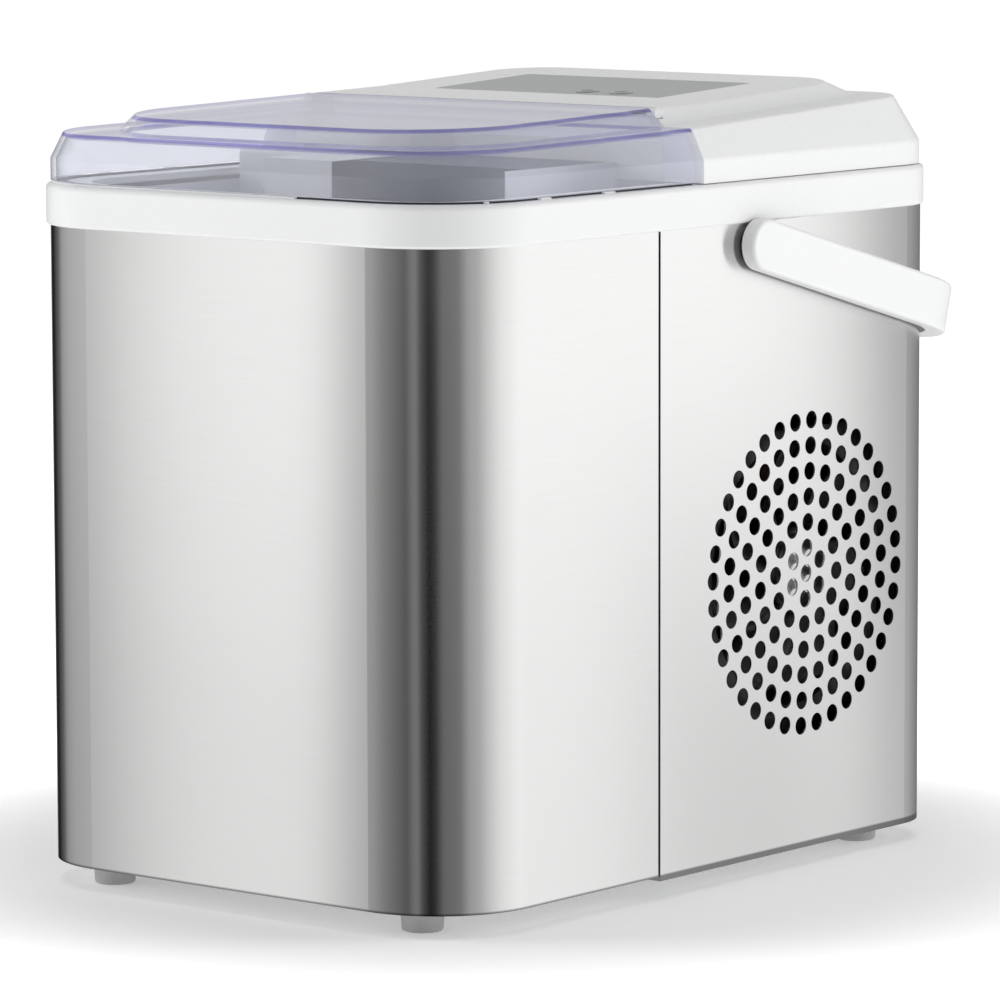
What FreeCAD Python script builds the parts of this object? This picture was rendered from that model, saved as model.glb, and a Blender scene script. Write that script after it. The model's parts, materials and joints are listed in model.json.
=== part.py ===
"""Countertop ice maker, modelled as an assembly of separate pieces, in millimetres.

Frame: +Z up, floor at Z = 0, -Y is the front, +X is the side with the fan grille.
The origin is the bottom centre of the whole machine's box, the carry handle included.
Depths written as F(d) are d millimetres behind the front face of the steel shell.
"""
import FreeCAD, Part
import math
import os

# ---------------------------------------------------------------- driving dimensions
BODY_W = 223.0            # steel shell, side to side
BODY_D = 310.0            # steel shell, front to back
FRONT_RADIUS = 42.0       # vertical front corners
REAR_RADIUS = 28.0        # vertical rear corners
FOOT_H = 9.0
SHELL_H = 246.0           # steel shell height above the feet
RIM_H = 16.0              # white band round the top
RIM_PROUD = 1.2           # the band stands this far outside the steel
SHEET = 0.8               # steel thickness
SEAM = 122.0              # depth of the seam between the front and rear shells
LID_END = 149.2           # depth of the lid's rear end
HINGE_D = 150.6           # depth of the lid's hinge axis
HANDLE_D = 180.5          # depth of the handle's pivot
HANDLE_DROP = 15.1        # degrees that the resting handle hangs below level
HANDLE_REACH = 148.0      # pivot to the outer face of the grip
HANDLE_W = 20.0           # width of the arms and of the grip
HANDLE_GAP = 2.0          # between an arm and the steel
ARM_T = 6.0               # thickness of an arm
GRIP_T = 10.7             # thickness of the grip
HANDLE_EDGE = 1.6         # rounding of the handle's outer edges
HANDLE_STUD_R = 5.0       # stud inside each arm's end
GRILLE_D = 215.3          # depth of the grille's centre
GRILLE_UP = 106.7         # grille centre above the steel's bottom edge
GRILLE_PITCH = 10.0
GRILLE_RINGS = 6
GRILLE_HOLE = 7.0         # hole diameter

# ---------------------------------------------------------------- derived places
SHELL_BOTTOM = FOOT_H
SHELL_TOP = FOOT_H + SHELL_H
RIM_TOP = SHELL_TOP + RIM_H
HALF_W = BODY_W / 2
PIVOT_Z = SHELL_TOP - 8.5
GRILLE_Z = FOOT_H + GRILLE_UP
DROP = math.radians(HANDLE_DROP)
HANDLE_REAR = (
    HANDLE_D
    + (HANDLE_REACH - HANDLE_EDGE) * math.cos(DROP)
    + (HANDLE_W / 2 - HANDLE_EDGE) * math.sin(DROP)
    + HANDLE_EDGE
)
FRONT = RIM_PROUD - (RIM_PROUD + HANDLE_REAR) / 2

# lid and rear cover share one stepped profile
CAP_INSET = 0.6           # outer wall of the lid inside the steel's face
CAP_BOTTOM = RIM_TOP + 1.0
CREASE_Z = RIM_TOP + 9.3
FACE_RUN = 0.5            # inset gained per millimetre of height on the lower slope
STEP_INSET = 18.5         # foot of the upper step
STEP_RUN = 0.75           # inset gained per millimetre of height on the upper step
STEP_RADIUS = 42.0        # front plan corners of the upper step
STEP_REAR_RADIUS = 24.0   # its rear plan corners
STEP_REAR_Z = 299.1       # height of its foot at the rear, and its inset and run there
STEP_REAR_INSET = 17.3
STEP_REAR_RUN = 2.4
REAR_LEAN = 0.14          # inset that the lower slope gains extra per millimetre at the rear
LEDGE_FRONT_Z = 290.1
LEDGE_LID_RISE = 0.0141   # rise of the ledge towards the rear, on the lid
LEDGE_BREAK = 149.9       # depth where the ledge starts to rise faster
DECK_FRONT_Z = 295.8
DECK_LID_RISE = 0.0221    # rise of the raised plateau towards the rear
DECK_BREAK = 190.0
LEDGE_COVER_RISE = 0.043  # rise of the ledge and of the plateau behind their breaks
DECK_COVER_RISE = 0.05
LID_T = 2.2
COVER_T = 2.6
LID_ROUNDING = {"crease": 1.5, "ledge": 1.0, "foot": 1.0, "deck": 1.0}
COVER_ROUNDING = {"crease": 4.0, "ledge": 1.6, "foot": 2.0, "deck": 2.0}
REST_STRIP_END = 35.0     # X where the white strip under the lid's front edge ends
REST_TURN = 24.0          # direction of the pad in the near corner, in degrees from +X
HINGE_BEAD = 1.9          # radius of the rounded hinge edge of the lid
HINGE_PIN = 0.9
EAR_IN = 84.3             # hinge ears of the cover, inner and outer face
EAR_OUT = 88.3
HINGE_Z = DECK_FRONT_Z + DECK_LID_RISE * HINGE_D - HINGE_BEAD

# control panel on the cover's plateau
PANEL_W = 113.0
PANEL_D = 60.0
PANEL_DEPTH = 222.0
PANEL_T = 0.7
BUTTON_X = (13.5, 30.5)
BUTTON_Y = -20.0
BUTTON_R = 4.5
BUTTON_UP = 0.5
BOARD_TOP = -14.4         # top of the control board, measured down from the plateau

# ice compartment
TANK_X = 97.0
TANK_FRONT = 12.0
TANK_REAR = 146.0
TANK_UPPER_REAR = 160.0
TANK_T = 2.2
TANK_BOTTOM = 48.0
TANK_STEP = 174.0
TANK_R = 30.0
EVAP_X = 8.0              # the evaporator sits this far to the right of the centre
CHEEK = 57.5              # half width between the cheeks of the evaporator frame
TRAY_PIVOT = (128.0, 222.0)
PUSHER_PIVOT = (87.2, 250.0)
FINGER_R = 4.5
FINGER_BOTTOM = 203.0
EVAP_BOTTOM = 236.0
PIPE_Z = 240.0            # height of the two refrigerant stubs behind the evaporator
PIPE_X = (EVAP_X - 30.0, EVAP_X + 30.0)
BASKET = ((-88.0, 88.0), (16.0, 82.0), (76.0, 196.0))
BASKET_LIP = 1.5          # the basket's rim stands this far outside its sides

# places on the floor and the pipes' ends, as (X, depth) unless named otherwise
FEET = {
    "foot_front_left": (-77.5, 22.0),
    "foot_front_right": (77.5, 22.0),
    "foot_rear_left": (-92.0, 276.0),
    "foot_rear_right": (92.0, 276.0),
}
DRAIN = (-55.0, 45.0)
INLET = (-70.0, 44.0)     # X and Z of the mains lead's bush in the rear wall
INLET_BORE = 3.5
PUMP_PORT = (62.0, TANK_BOTTOM + 8.0)  # X and Z of the pump's inlet in the liner
HOSE_X = 50.0
HOSE_D = 173.0
HOSE_Z = 232.0

# cooling machinery
PAN_FLOOR = SHELL_BOTTOM + 3.0
COMPRESSOR = (-14.0, 240.0)
COMPRESSOR_R = 44.0
COMPRESSOR_FEET = ((-62.0, 212.0), (34.0, 212.0), (-62.0, 268.0), (34.0, 268.0))
CONDENSER = ((-104.0, -84.0), (160.0, 268.0), (48.0, 184.0))
CONDENSER_ROWS = 6
CONDENSER_PITCH = 21.5
FAN_HALF = 56.0           # half the side of the fan's square frame
FAN_X = (80.0, 105.0)
FAN_DUCT_R = 52.5
FAN_SHAFT_R = 2.0
FAN_BLADES = 7
DRIER_D = 172.0
DRIER_Z = 190.0


# wide enough to reach past the machine on both sides, used to cut halves away
ALL_X = (-150.0, 150.0)
ALL_Z = (0.0, 400.0)


# ---------------------------------------------------------------- helpers
def F(depth):
    return FRONT + depth


def V(x, y, z):
    return FreeCAD.Vector(x, y, z)


X_AXIS = V(1, 0, 0)
Y_AXIS = V(0, 1, 0)
Z_AXIS = V(0, 0, 1)


def box(x, d, z):
    """A box from (low, high) pairs: X, depth behind the front face, Z."""
    return Part.makeBox(x[1] - x[0], d[1] - d[0], z[1] - z[0], V(x[0], F(d[0]), z[0]))


def rod(radius, length, x, d, z, axis=Z_AXIS):
    return Part.makeCylinder(radius, length, V(x, F(d), z), axis)


def loop(half_w, front, rear, r_front, r_rear, z):
    """Closed wire: a rounded rectangle at height z, from depth front to depth rear."""
    corners = (
        (half_w, rear, r_rear, 0),
        (-half_w, rear, r_rear, 90),
        (-half_w, front, r_front, 180),
        (half_w, front, r_front, 270),
    )
    ends = []
    edges = []
    for x, depth, radius, start in corners:
        cx = x - math.copysign(radius, x)
        cy = F(depth) + (radius if depth == front else -radius)
        arc = Part.makeCircle(radius, V(cx, cy, z), Z_AXIS, start, start + 90)
        edges.append(arc)
        ends.append((arc.valueAt(arc.FirstParameter), arc.valueAt(arc.LastParameter)))
    for i in range(4):
        edges.append(Part.makeLine(ends[i][1], ends[(i + 1) % 4][0]))
    return Part.Wire(Part.__sortEdges__(edges))


def outline(inset, z):
    """The machine's plan outline, moved inwards by inset."""
    return loop(
        HALF_W - inset,
        inset,
        BODY_D - inset,
        FRONT_RADIUS - inset,
        REAR_RADIUS - inset,
        z,
    )


def prism(wire, height):
    return Part.Face(wire).extrude(V(0, 0, height))


def profile_cut(points, reach=400.0):
    """A solid that fills the side-view polygon of (depth, z) points over the whole width."""
    wire = Part.makePolygon([V(-reach, F(d), z) for d, z in points + [points[0]]])
    return Part.Face(wire).extrude(V(2 * reach, 0, 0))


def join(shapes):
    shape = shapes[0].fuse(shapes[1:]) if len(shapes) > 1 else shapes[0]
    return shape.removeSplitter()


def group(shapes):
    return Part.makeCompound(shapes)


def both_sides(shape):
    """The shape and its mirror image across the machine's centre plane."""
    return [shape, shape.mirror(V(0, 0, 0), X_AXIS)]


def tube(points, radius, bend):
    """A round bar along straight runs joined by tangent arcs; points are (x, depth, z)."""
    pts = [V(x, F(d), z) for x, d, z in points]
    edges = []
    start = pts[0]
    for before, corner, after in zip(pts, pts[1:], pts[2:]):
        into = (corner - before).normalize()
        out = (after - corner).normalize()
        half_turn = into.getAngle(out) / 2
        cut = bend * math.tan(half_turn)
        a = corner - into * cut
        b = corner + out * cut
        middle_dir = (out - into).normalize()
        middle = corner + middle_dir * (bend / math.cos(half_turn) - bend)
        edges.append(Part.makeLine(start, a))
        edges.append(Part.Arc(a, middle, b).toShape())
        start = b
    edges.append(Part.makeLine(start, pts[-1]))
    path = Part.Wire(edges)
    first = (pts[1] - pts[0]).normalize()
    profile = Part.Wire(Part.makeCircle(radius, pts[0], first))
    return path.makePipeShell([profile], True, False)


def middle_of(edge):
    return edge.valueAt((edge.FirstParameter + edge.LastParameter) / 2)


def rounded(shape, radius, wanted):
    """Fillet the edges of the shape for which wanted(edge) is true."""
    edges = [e for e in shape.Edges if wanted(e)]
    return shape.makeFillet(radius, edges)


def at_height(z, tolerance=0.01):
    def wanted(edge):
        b = edge.BoundBox
        return abs(b.ZMin - z) < tolerance and abs(b.ZMax - z) < tolerance

    return wanted


def outer_at_height(z, inset):
    """Edges at height z that lie on the plan outline with this inset."""
    level = at_height(z)

    def wanted(edge):
        if not level(edge):
            return False
        p = middle_of(edge)
        limit = Part.Face(outline(inset + 0.5, z))
        return not limit.isInside(p, 0.01, True)

    return wanted


# ---------------------------------------------------------------- outer casing
def shell_sheet(inset, low, high):
    return prism(outline(inset, low), high - low).cut(prism(outline(inset + SHEET, low), high - low))


def front_shell():
    """Steel wrap round the front: both sides back to the seam, with a return at each edge."""
    inset = 0.4
    end = SEAM - 0.4
    sheet = shell_sheet(inset, SHELL_BOTTOM, SHELL_TOP)
    sheet = sheet.common(box(ALL_X, (-10, end), ALL_Z))
    outer = HALF_W - inset
    flange = box((outer - 7, outer), (end - SHEET, end), (SHELL_BOTTOM, SHELL_TOP))
    return join([sheet] + both_sides(flange))


def grille_holes():
    """Rings of round holes, six more in each ring, right through both sides."""
    holes = []
    for ring in range(GRILLE_RINGS + 1):
        count = max(1, 6 * ring)
        for i in range(count):
            turn = math.radians(93.0 + 360.0 * i / count)
            d = GRILLE_D - ring * GRILLE_PITCH * math.cos(turn)
            z = GRILLE_Z + ring * GRILLE_PITCH * math.sin(turn)
            holes.append(rod(GRILLE_HOLE / 2, 300, -150, d, z, X_AXIS))
    return holes


def rear_shell():
    """Steel wrap round the rear, slightly proud and lower, with both grilles and its holes."""
    low = SHELL_BOTTOM - 1.7
    start = SEAM + 0.4
    sheet = shell_sheet(0.0, low, SHELL_TOP)
    sheet = sheet.common(box(ALL_X, (start, 400), ALL_Z))
    flange = box((HALF_W - 7, HALF_W), (start, start + SHEET), (low, SHELL_TOP))
    shape = join([sheet] + both_sides(flange))
    holes = grille_holes()
    holes.append(rod(8.0, 300, -150, HANDLE_D, PIVOT_Z, X_AXIS))
    inlet = rod(9.0, 20, INLET[0], BODY_D - 10, INLET[1], Y_AXIS)
    return shape.cut(holes + [inlet])


def base_pan():
    """Moulded floor tray: stands on the feet and carries everything inside."""
    low = SHELL_BOTTOM + 0.5
    floor = 2.5
    outer = prism(outline(1.8, low), 15)
    inner = prism(outline(4.0, low + floor), 15)
    pan = outer.cut(inner)
    ribs = []
    for d in (158.0, 186.0, 294.0):
        ribs.append(box((-78, 78), (d, d + 2), (low + floor, low + 9)))
    holes = [rod(6.4, 30, DRAIN[0], DRAIN[1], 0)]
    holes += both_sides(box((HALF_W - 8, HALF_W), (SEAM - 2, SEAM + 2.5), (low - 1, low + 20)))
    for x, d in FEET.values():
        holes.append(rod(3.2, 30, x, d, 0))
    for x, d in COMPRESSOR_FEET:
        holes.append(rod(3.2, 30, x, d, 0))
    return join([pan] + ribs).cut(holes)


def foot(x, d):
    """Rubber foot: a tapered pad with a stud pushed into the base pan."""
    pad = Part.makeCone(7.8, 8.4, FOOT_H + 0.5, V(x, F(d), 0), Z_AXIS)
    pad = rounded(pad, 1.0, at_height(0.0))
    return join([pad, rod(3.1, 3.5, x, d, FOOT_H)])


def top_rim():
    """White frame on top of the steel: a band all round and a deck with two openings."""
    band = prism(outline(-RIM_PROUD, SHELL_TOP), RIM_H)
    hollow = prism(outline(2.2, SHELL_TOP - 1), RIM_H - 1.5)
    frame = band.cut(hollow)
    frame = rounded(frame, 2.2, outer_at_height(RIM_TOP, -RIM_PROUD))
    frame = rounded(frame, 1.2, outer_at_height(SHELL_TOP, -RIM_PROUD))
    well = prism(loop(94.8, 14.2, 152.0, 28, 4, RIM_TOP - 5), 10)
    wiring = prism(loop(80, 172, 282, 8, 8, RIM_TOP - 5), 10)
    return frame.cut([well, wiring])


def lid_gasket():
    """Dark sealing strip on the rim, under the lid's edge, in one U."""
    height = CAP_BOTTOM - RIM_TOP - 0.35
    ring = prism(outline(3.0, RIM_TOP), height).cut(prism(outline(6.5, RIM_TOP), height))
    return ring.common(box(ALL_X, (-10, 146), ALL_Z))


def lid_rests():
    """White spots in the gap under the lid: a strip along the front left and small pads."""
    height = CAP_BOTTOM - RIM_TOP - 0.3
    strip = prism(outline(0.9, RIM_TOP), height).cut(prism(outline(2.6, RIM_TOP), height))
    spots = [strip.common(box((-HALF_W, REST_STRIP_END), (0, FRONT_RADIUS), ALL_Z))]
    for d in (52.0, 90.0):
        spots += both_sides(box((108.9, 110.6), (d, d + 6), (RIM_TOP, RIM_TOP + height)))
    turn = math.radians(REST_TURN)
    x = HALF_W - FRONT_RADIUS + (FRONT_RADIUS - 1.9) * math.cos(turn)
    d = FRONT_RADIUS - (FRONT_RADIUS - 1.9) * math.sin(turn)
    spots.append(rod(1.0, height, x, d, RIM_TOP, Z_AXIS))
    return group(spots)


# ---------------------------------------------------------------- lid and rear cover
def cap_solid(shift):
    """The stepped top of the machine as one block, its faces moved inwards by shift."""
    inset = CAP_INSET + shift
    rise = 40.0
    wall = prism(outline(inset, CAP_BOTTOM), CREASE_Z - CAP_BOTTOM)
    i = inset + FACE_RUN * rise
    top = loop(
        HALF_W - i,
        i,
        BODY_D - i - REAR_LEAN * rise,
        FRONT_RADIUS - i,
        REAR_RADIUS - i,
        CREASE_Z + rise,
    )
    slope = Part.makeLoft([outline(inset, CREASE_Z), top], True, True)
    lower = join([wall, slope])
    step_wires = []
    for up in (0.0, rise):
        z = CREASE_Z + up
        i = STEP_INSET + shift + STEP_RUN * (z - LEDGE_FRONT_Z)
        rear = STEP_REAR_INSET + shift + STEP_REAR_RUN * (z - STEP_REAR_Z)
        step_wires.append(loop(HALF_W - i, i, BODY_D - rear, STEP_RADIUS, STEP_REAR_RADIUS, z))
    upper = Part.makeLoft(step_wires, True, True).common(lower)
    ledge = [
        (-50, ledge_z(-50) - shift),
        (LEDGE_BREAK, ledge_z(LEDGE_BREAK) - shift),
        (400, ledge_z(400) - shift),
        (400, 500),
        (-50, 500),
    ]
    deck = [
        (-50, deck_z(-50) - shift),
        (DECK_BREAK, deck_z(DECK_BREAK) - shift),
        (400, deck_z(400) - shift),
        (400, 500),
        (-50, 500),
    ]
    return join([lower.cut(profile_cut(ledge)), upper.cut(profile_cut(deck))])


def bend(shape, edge):
    """Angle between the two faces that meet at an edge, in degrees."""
    faces = shape.ancestorsOfType(edge, Part.Face)
    if len(faces) < 2:
        return 0.0
    p = middle_of(edge)
    normals = [f.normalAt(*f.Surface.parameter(p)) for f in faces]
    return math.degrees(normals[0].getAngle(normals[1]))


def cap_level(p):
    """Which of the cap's four running edges a point lies on."""
    d = p.y - FRONT
    if abs(p.z - CREASE_Z) < 0.1:
        return "crease"
    if p.z > deck_z(d) - 0.5:
        return "deck"
    from_side = min(HALF_W - abs(p.x), d, BODY_D - d)
    return "foot" if from_side > STEP_INSET - 4 else "ledge"


def soften(cap, cut_depth, radii):
    """Round the cap's running edges, leaving the edges of its cut face and its slight breaks."""
    for level, radius in radii.items():
        chosen = []
        for edge in cap.Edges:
            p = middle_of(edge)
            on_cut = edge.BoundBox.YLength < 0.01 and abs(p.y - F(cut_depth)) < 0.02
            if on_cut or p.z < CAP_BOTTOM + 0.5 or cap_level(p) != level:
                continue
            if bend(cap, edge) > 8.0:
                chosen.append(edge)
        cap = cap.makeFillet(radius, chosen)
    return cap


def ledge_z(d):
    if d < LEDGE_BREAK:
        return LEDGE_FRONT_Z + LEDGE_LID_RISE * d
    return ledge_z(LEDGE_BREAK - 1e-6) + LEDGE_COVER_RISE * (d - LEDGE_BREAK)


def deck_z(d):
    if d < DECK_BREAK:
        return DECK_FRONT_Z + DECK_LID_RISE * d
    return deck_z(DECK_BREAK - 1e-6) + DECK_COVER_RISE * (d - DECK_BREAK)


def lid():
    """Clear lid: a stepped shell with an end wall and a round bead that turns on two pins."""
    outer = cap_solid(0.0).common(box(ALL_X, (-10, LID_END), ALL_Z))
    outer = soften(outer, LID_END, LID_ROUNDING)
    inner = cap_solid(LID_T).common(box(ALL_X, (-10, LID_END - LID_T), ALL_Z))
    well = prism(outline(CAP_INSET + LID_T, CAP_BOTTOM - 1), 2)
    well = well.common(box(ALL_X, (-10, LID_END - LID_T), ALL_Z))
    shell = outer.cut([inner, well])
    window = box((-93, 93), (LID_END - 10, LID_END + 1), (CAP_BOTTOM - 1, HINGE_Z - 11))
    reach = EAR_IN - 0.3
    bead = rod(HINGE_BEAD, 2 * reach, -reach, HINGE_D, HINGE_Z, X_AXIS)
    web = box((-reach, reach), (LID_END - 1, HINGE_D), (HINGE_Z - 1.2, HINGE_Z + 1.2))
    clear = box((reach, EAR_OUT + 0.3), (HINGE_D - 2.4, HINGE_D + 9), (HINGE_Z - 2.4, 400))
    shell = join([shell.cut([window] + both_sides(clear)), web, bead])
    bore = rod(HINGE_PIN + 0.07, 300, -150, HINGE_D, HINGE_Z, X_AXIS)
    bore = bore.common(both_ends(reach - 9, 150))
    return shell.cut(bore)


def both_ends(low, high):
    """Two tall blocks from X low to X high and their mirror image, over the whole depth."""
    return group(both_sides(box((low, high), (0, 400), ALL_Z)))


def hinge_pins():
    pin = rod(HINGE_PIN, 11, EAR_OUT - 12, HINGE_D, HINGE_Z, X_AXIS)
    return group(both_sides(pin))


def rear_cover():
    """White cover over the machinery: carries the panel, the buttons and the lid's ears."""
    face = LID_END + 0.8
    top_face = HINGE_D + HINGE_BEAD + 0.5
    behind = box(ALL_X, (face, 400), ALL_Z)
    lift = CAP_BOTTOM - RIM_TOP - 0.3
    skirt = prism(outline(CAP_INSET, CAP_BOTTOM - lift), lift + 1).common(behind)
    cap = soften(cap_solid(0.0).common(behind), face, COVER_ROUNDING)
    outer = join([cap, skirt])
    behind_inner = box(ALL_X, (top_face + COVER_T, 400), ALL_Z)
    inner = cap_solid(COVER_T).common(behind_inner)
    well = prism(outline(CAP_INSET + COVER_T, CAP_BOTTOM - 5), 6).common(behind_inner)
    bead_room = box(
        (-EAR_OUT - 1, EAR_OUT + 1), (face - 1, top_face), (HINGE_Z - HINGE_BEAD - 9, 400)
    )
    shape = outer.cut([inner, well, bead_room])
    knuckle = rod(HINGE_BEAD, EAR_OUT - EAR_IN, EAR_IN, HINGE_D, HINGE_Z, X_AXIS)
    root = box((EAR_IN, EAR_OUT), (HINGE_D, top_face + 1), (HINGE_Z - HINGE_BEAD, HINGE_Z + 1.2))
    shape = join([shape] + both_sides(join([knuckle, root])))
    margin = 0.2
    pocket = panel_plate(PANEL_W + 2 * margin, PANEL_D + 2 * margin, 20.0)
    holes = [panel_rod(BUTTON_R + 0.3, 40.0, x, BUTTON_Y, -20.0) for x in BUTTON_X]
    pins = rod(HINGE_PIN, 2 * EAR_OUT + 1, -EAR_OUT - 0.5, HINGE_D, HINGE_Z, X_AXIS)
    pins = pins.common(both_ends(EAR_OUT - 12, EAR_OUT - 1))
    return shape.cut([on_panel(pocket), pins] + [on_panel(hole) for hole in holes])


def panel_plate(width, depth, height):
    """A plate round the panel's centre whose underside is the pocket's floor."""
    return Part.makeBox(width, depth, height, V(-width / 2, -depth / 2, -PANEL_T))


def panel_rod(radius, length, x, y, z):
    return Part.makeCylinder(radius, length, V(x, y, z), Z_AXIS)


def on_panel(shape):
    """Place a shape drawn round the panel's centre onto the sloping plateau of the cover."""
    tilt = math.degrees(math.atan(DECK_COVER_RISE))
    shape.rotate(V(0, 0, 0), X_AXIS, tilt)
    shape.translate(V(0, F(PANEL_DEPTH), deck_z(PANEL_DEPTH)))
    return shape


def control_panel():
    """Grey overlay in the cover's pocket, with a hole for each button."""
    plate = panel_plate(PANEL_W, PANEL_D, PANEL_T)
    corner = [e for e in plate.Edges if abs(e.tangentAt(e.FirstParameter).z) > 0.99]
    plate = plate.makeFillet(3.0, corner)
    holes = [panel_rod(BUTTON_R + 0.3, 9.0, x, BUTTON_Y, -4.0) for x in BUTTON_X]
    return on_panel(plate.cut(holes))


def push_button(x):
    """Button cap with a stem down to its switch on the control board."""
    cap = panel_rod(BUTTON_R, BUTTON_UP + 3.0, x, BUTTON_Y, -3.0)
    cap = rounded(cap, 0.4, at_height(BUTTON_UP))
    stem = panel_rod(2.0, 7.0, x, BUTTON_Y, -9.6)
    return on_panel(join([cap, stem]))


def control_board():
    """Board under the panel: two tactile switches and a row of indicator lamps."""
    thick = 1.6
    top = BOARD_TOP
    parts = [Part.makeBox(96, 46, thick, V(-48, -32, top - thick))]
    for x in BUTTON_X:
        parts.append(Part.makeBox(6, 6, 3.4, V(x - 3, BUTTON_Y - 3, top)))
    for i in range(5):
        parts.append(panel_rod(1.5, 4.0, -36 + 10 * i, -4, top))
    connector = Part.makeBox(14, 8, 5, V(24, 0, top))
    return on_panel(join(parts + [connector]))


def board_posts():
    """Screws that hold the control board up to the cover."""
    posts = []
    for x in (-44.0, 44.0):
        for y in (-28.0, 10.0):
            posts.append(on_panel(panel_rod(2.0, 11.75, x, y, BOARD_TOP + 0.02)))
    return group(posts)


# ---------------------------------------------------------------- carry handle
def handle():
    """Bail handle: two arms and a grip in one moulding, with a stud inside each arm's end."""
    half = HALF_W + HANDLE_GAP + ARM_T
    r_out = 36.0
    inner_half = HALF_W + HANDLE_GAP
    inner_reach = HANDLE_REACH - GRIP_T
    r_in = 28.0
    z0 = -HANDLE_W / 2
    outer = flat_u(half, HANDLE_REACH, r_out, z0)
    inner = flat_u(inner_half, inner_reach, r_in, z0)
    u = outer.cut(inner)
    end = Part.makeCylinder(HANDLE_W / 2, ARM_T, V(inner_half, 0, 0), X_AXIS)
    u = u.cut(Part.makeBox(400, HANDLE_W, HANDLE_W, V(-200, -HANDLE_W, z0)))
    u = join([u] + both_sides(end))
    outer_edges = []
    for edge in u.Edges:
        p = middle_of(edge)
        flat = abs(abs(p.z) - HANDLE_W / 2) < 0.01 and p.y > 0.5
        outside = abs(p.x) > half - 0.01 or (p.y > 60 and distance_out(p, half, r_out) < 0.05)
        round_end = abs(abs(p.x) - half) < 0.01 and p.y < 0.5
        if (flat and outside) or round_end:
            outer_edges.append(edge)
    u = u.makeFillet(HANDLE_EDGE, outer_edges)
    root = inner_half - 11.0
    stud = Part.makeCylinder(HANDLE_STUD_R, 12.0, V(root, 0, 0), X_AXIS)
    snap = Part.makeCone(HANDLE_STUD_R, HANDLE_STUD_R + 1.2, 1.2, V(root, 0, 0), X_AXIS)
    slot = Part.makeBox(7.0, 14.0, 1.6, V(root - 1.0, -7.0, -0.8))
    peg = join([stud, snap]).cut(slot)
    u = join([u] + both_sides(peg))
    u.rotate(V(0, 0, 0), X_AXIS, -HANDLE_DROP)
    u.translate(V(0, F(HANDLE_D), PIVOT_Z))
    return u


def distance_out(p, half, radius):
    """How far a point of the handle's plan lies inside its outer outline."""
    cx = half - radius
    cy = HANDLE_REACH - radius
    x = abs(p.x)
    if x > cx and p.y > cy:
        return abs(radius - math.hypot(x - cx, p.y - cy))
    return min(half - x, HANDLE_REACH - p.y)


def flat_u(half, reach, radius, z0):
    """A slab from the pivot line back to reach, with both rear corners rounded."""
    a = math.sqrt(0.5) * radius
    cx = half - radius
    cy = reach - radius
    back = -HANDLE_W
    edges = [
        Part.makeLine(V(-half, back, z0), V(half, back, z0)),
        Part.makeLine(V(half, back, z0), V(half, cy, z0)),
        Part.Arc(V(half, cy, z0), V(cx + a, cy + a, z0), V(cx, reach, z0)).toShape(),
        Part.makeLine(V(cx, reach, z0), V(-cx, reach, z0)),
        Part.Arc(V(-cx, reach, z0), V(-cx - a, cy + a, z0), V(-half, cy, z0)).toShape(),
        Part.makeLine(V(-half, cy, z0), V(-half, back, z0)),
    ]
    return Part.Face(Part.Wire(edges)).extrude(V(0, 0, HANDLE_W))


def handle_bush(side):
    """Plastic bearing in the shell's hole that the handle's stud turns in."""
    collar = rod(7.8, 6.0, HALF_W - 5.4, HANDLE_D, PIVOT_Z, X_AXIS)
    flange = rod(8.4, 2.0, HALF_W - SHEET - 2.0, HANDLE_D, PIVOT_Z, X_AXIS)
    bore = rod(HANDLE_STUD_R + 0.08, 30.0, HALF_W - 20, HANDLE_D, PIVOT_Z, X_AXIS)
    bush = join([collar, flange]).cut(bore)
    return bush if side > 0 else bush.mirror(V(0, 0, 0), X_AXIS)


# ---------------------------------------------------------------- ice compartment
def tank_outside(grow):
    lower = prism(
        loop(TANK_X + grow, TANK_FRONT - grow, TANK_REAR + grow, TANK_R, 6, TANK_BOTTOM - grow),
        TANK_STEP - TANK_BOTTOM + 20,
    )
    upper = prism(
        loop(TANK_X + grow, TANK_FRONT - grow, TANK_UPPER_REAR + grow, TANK_R, 6, TANK_STEP - grow),
        RIM_TOP - TANK_STEP,
    )
    ceiling = box(ALL_X, (-10, 300), (RIM_TOP - 4.5, 400))
    return join([lower, upper]).cut(ceiling)


def water_tank():
    """Moulded liner: reservoir below, ice well above, and a deeper chamber for the tray."""
    shape = tank_outside(0.0).cut(tank_inside())
    drain = rod(5.2, 20, DRAIN[0], DRAIN[1], TANK_BOTTOM - 10)
    pump_port = rod(3.1, 20, PUMP_PORT[0], TANK_REAR - 10, PUMP_PORT[1], Y_AXIS)
    hose_port = rod(3.6, 20, HOSE_X, TANK_UPPER_REAR - 10, HOSE_Z, Y_AXIS)
    pipes = [rod(3.2, 20, x, TANK_UPPER_REAR - 10, PIPE_Z, Y_AXIS) for x in PIPE_X]
    return shape.cut([drain, pump_port, hose_port] + pipes)


def tank_inside():
    t = TANK_T
    lower = prism(
        loop(TANK_X - t, TANK_FRONT + t, TANK_REAR - t, TANK_R - t, 6 - t, TANK_BOTTOM + t),
        TANK_STEP - TANK_BOTTOM + 20,
    )
    upper = prism(
        loop(TANK_X - t, TANK_FRONT + t, TANK_UPPER_REAR - t, TANK_R - t, 6 - t, TANK_STEP + t),
        RIM_TOP - TANK_STEP,
    )
    return join([lower, upper])


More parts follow.
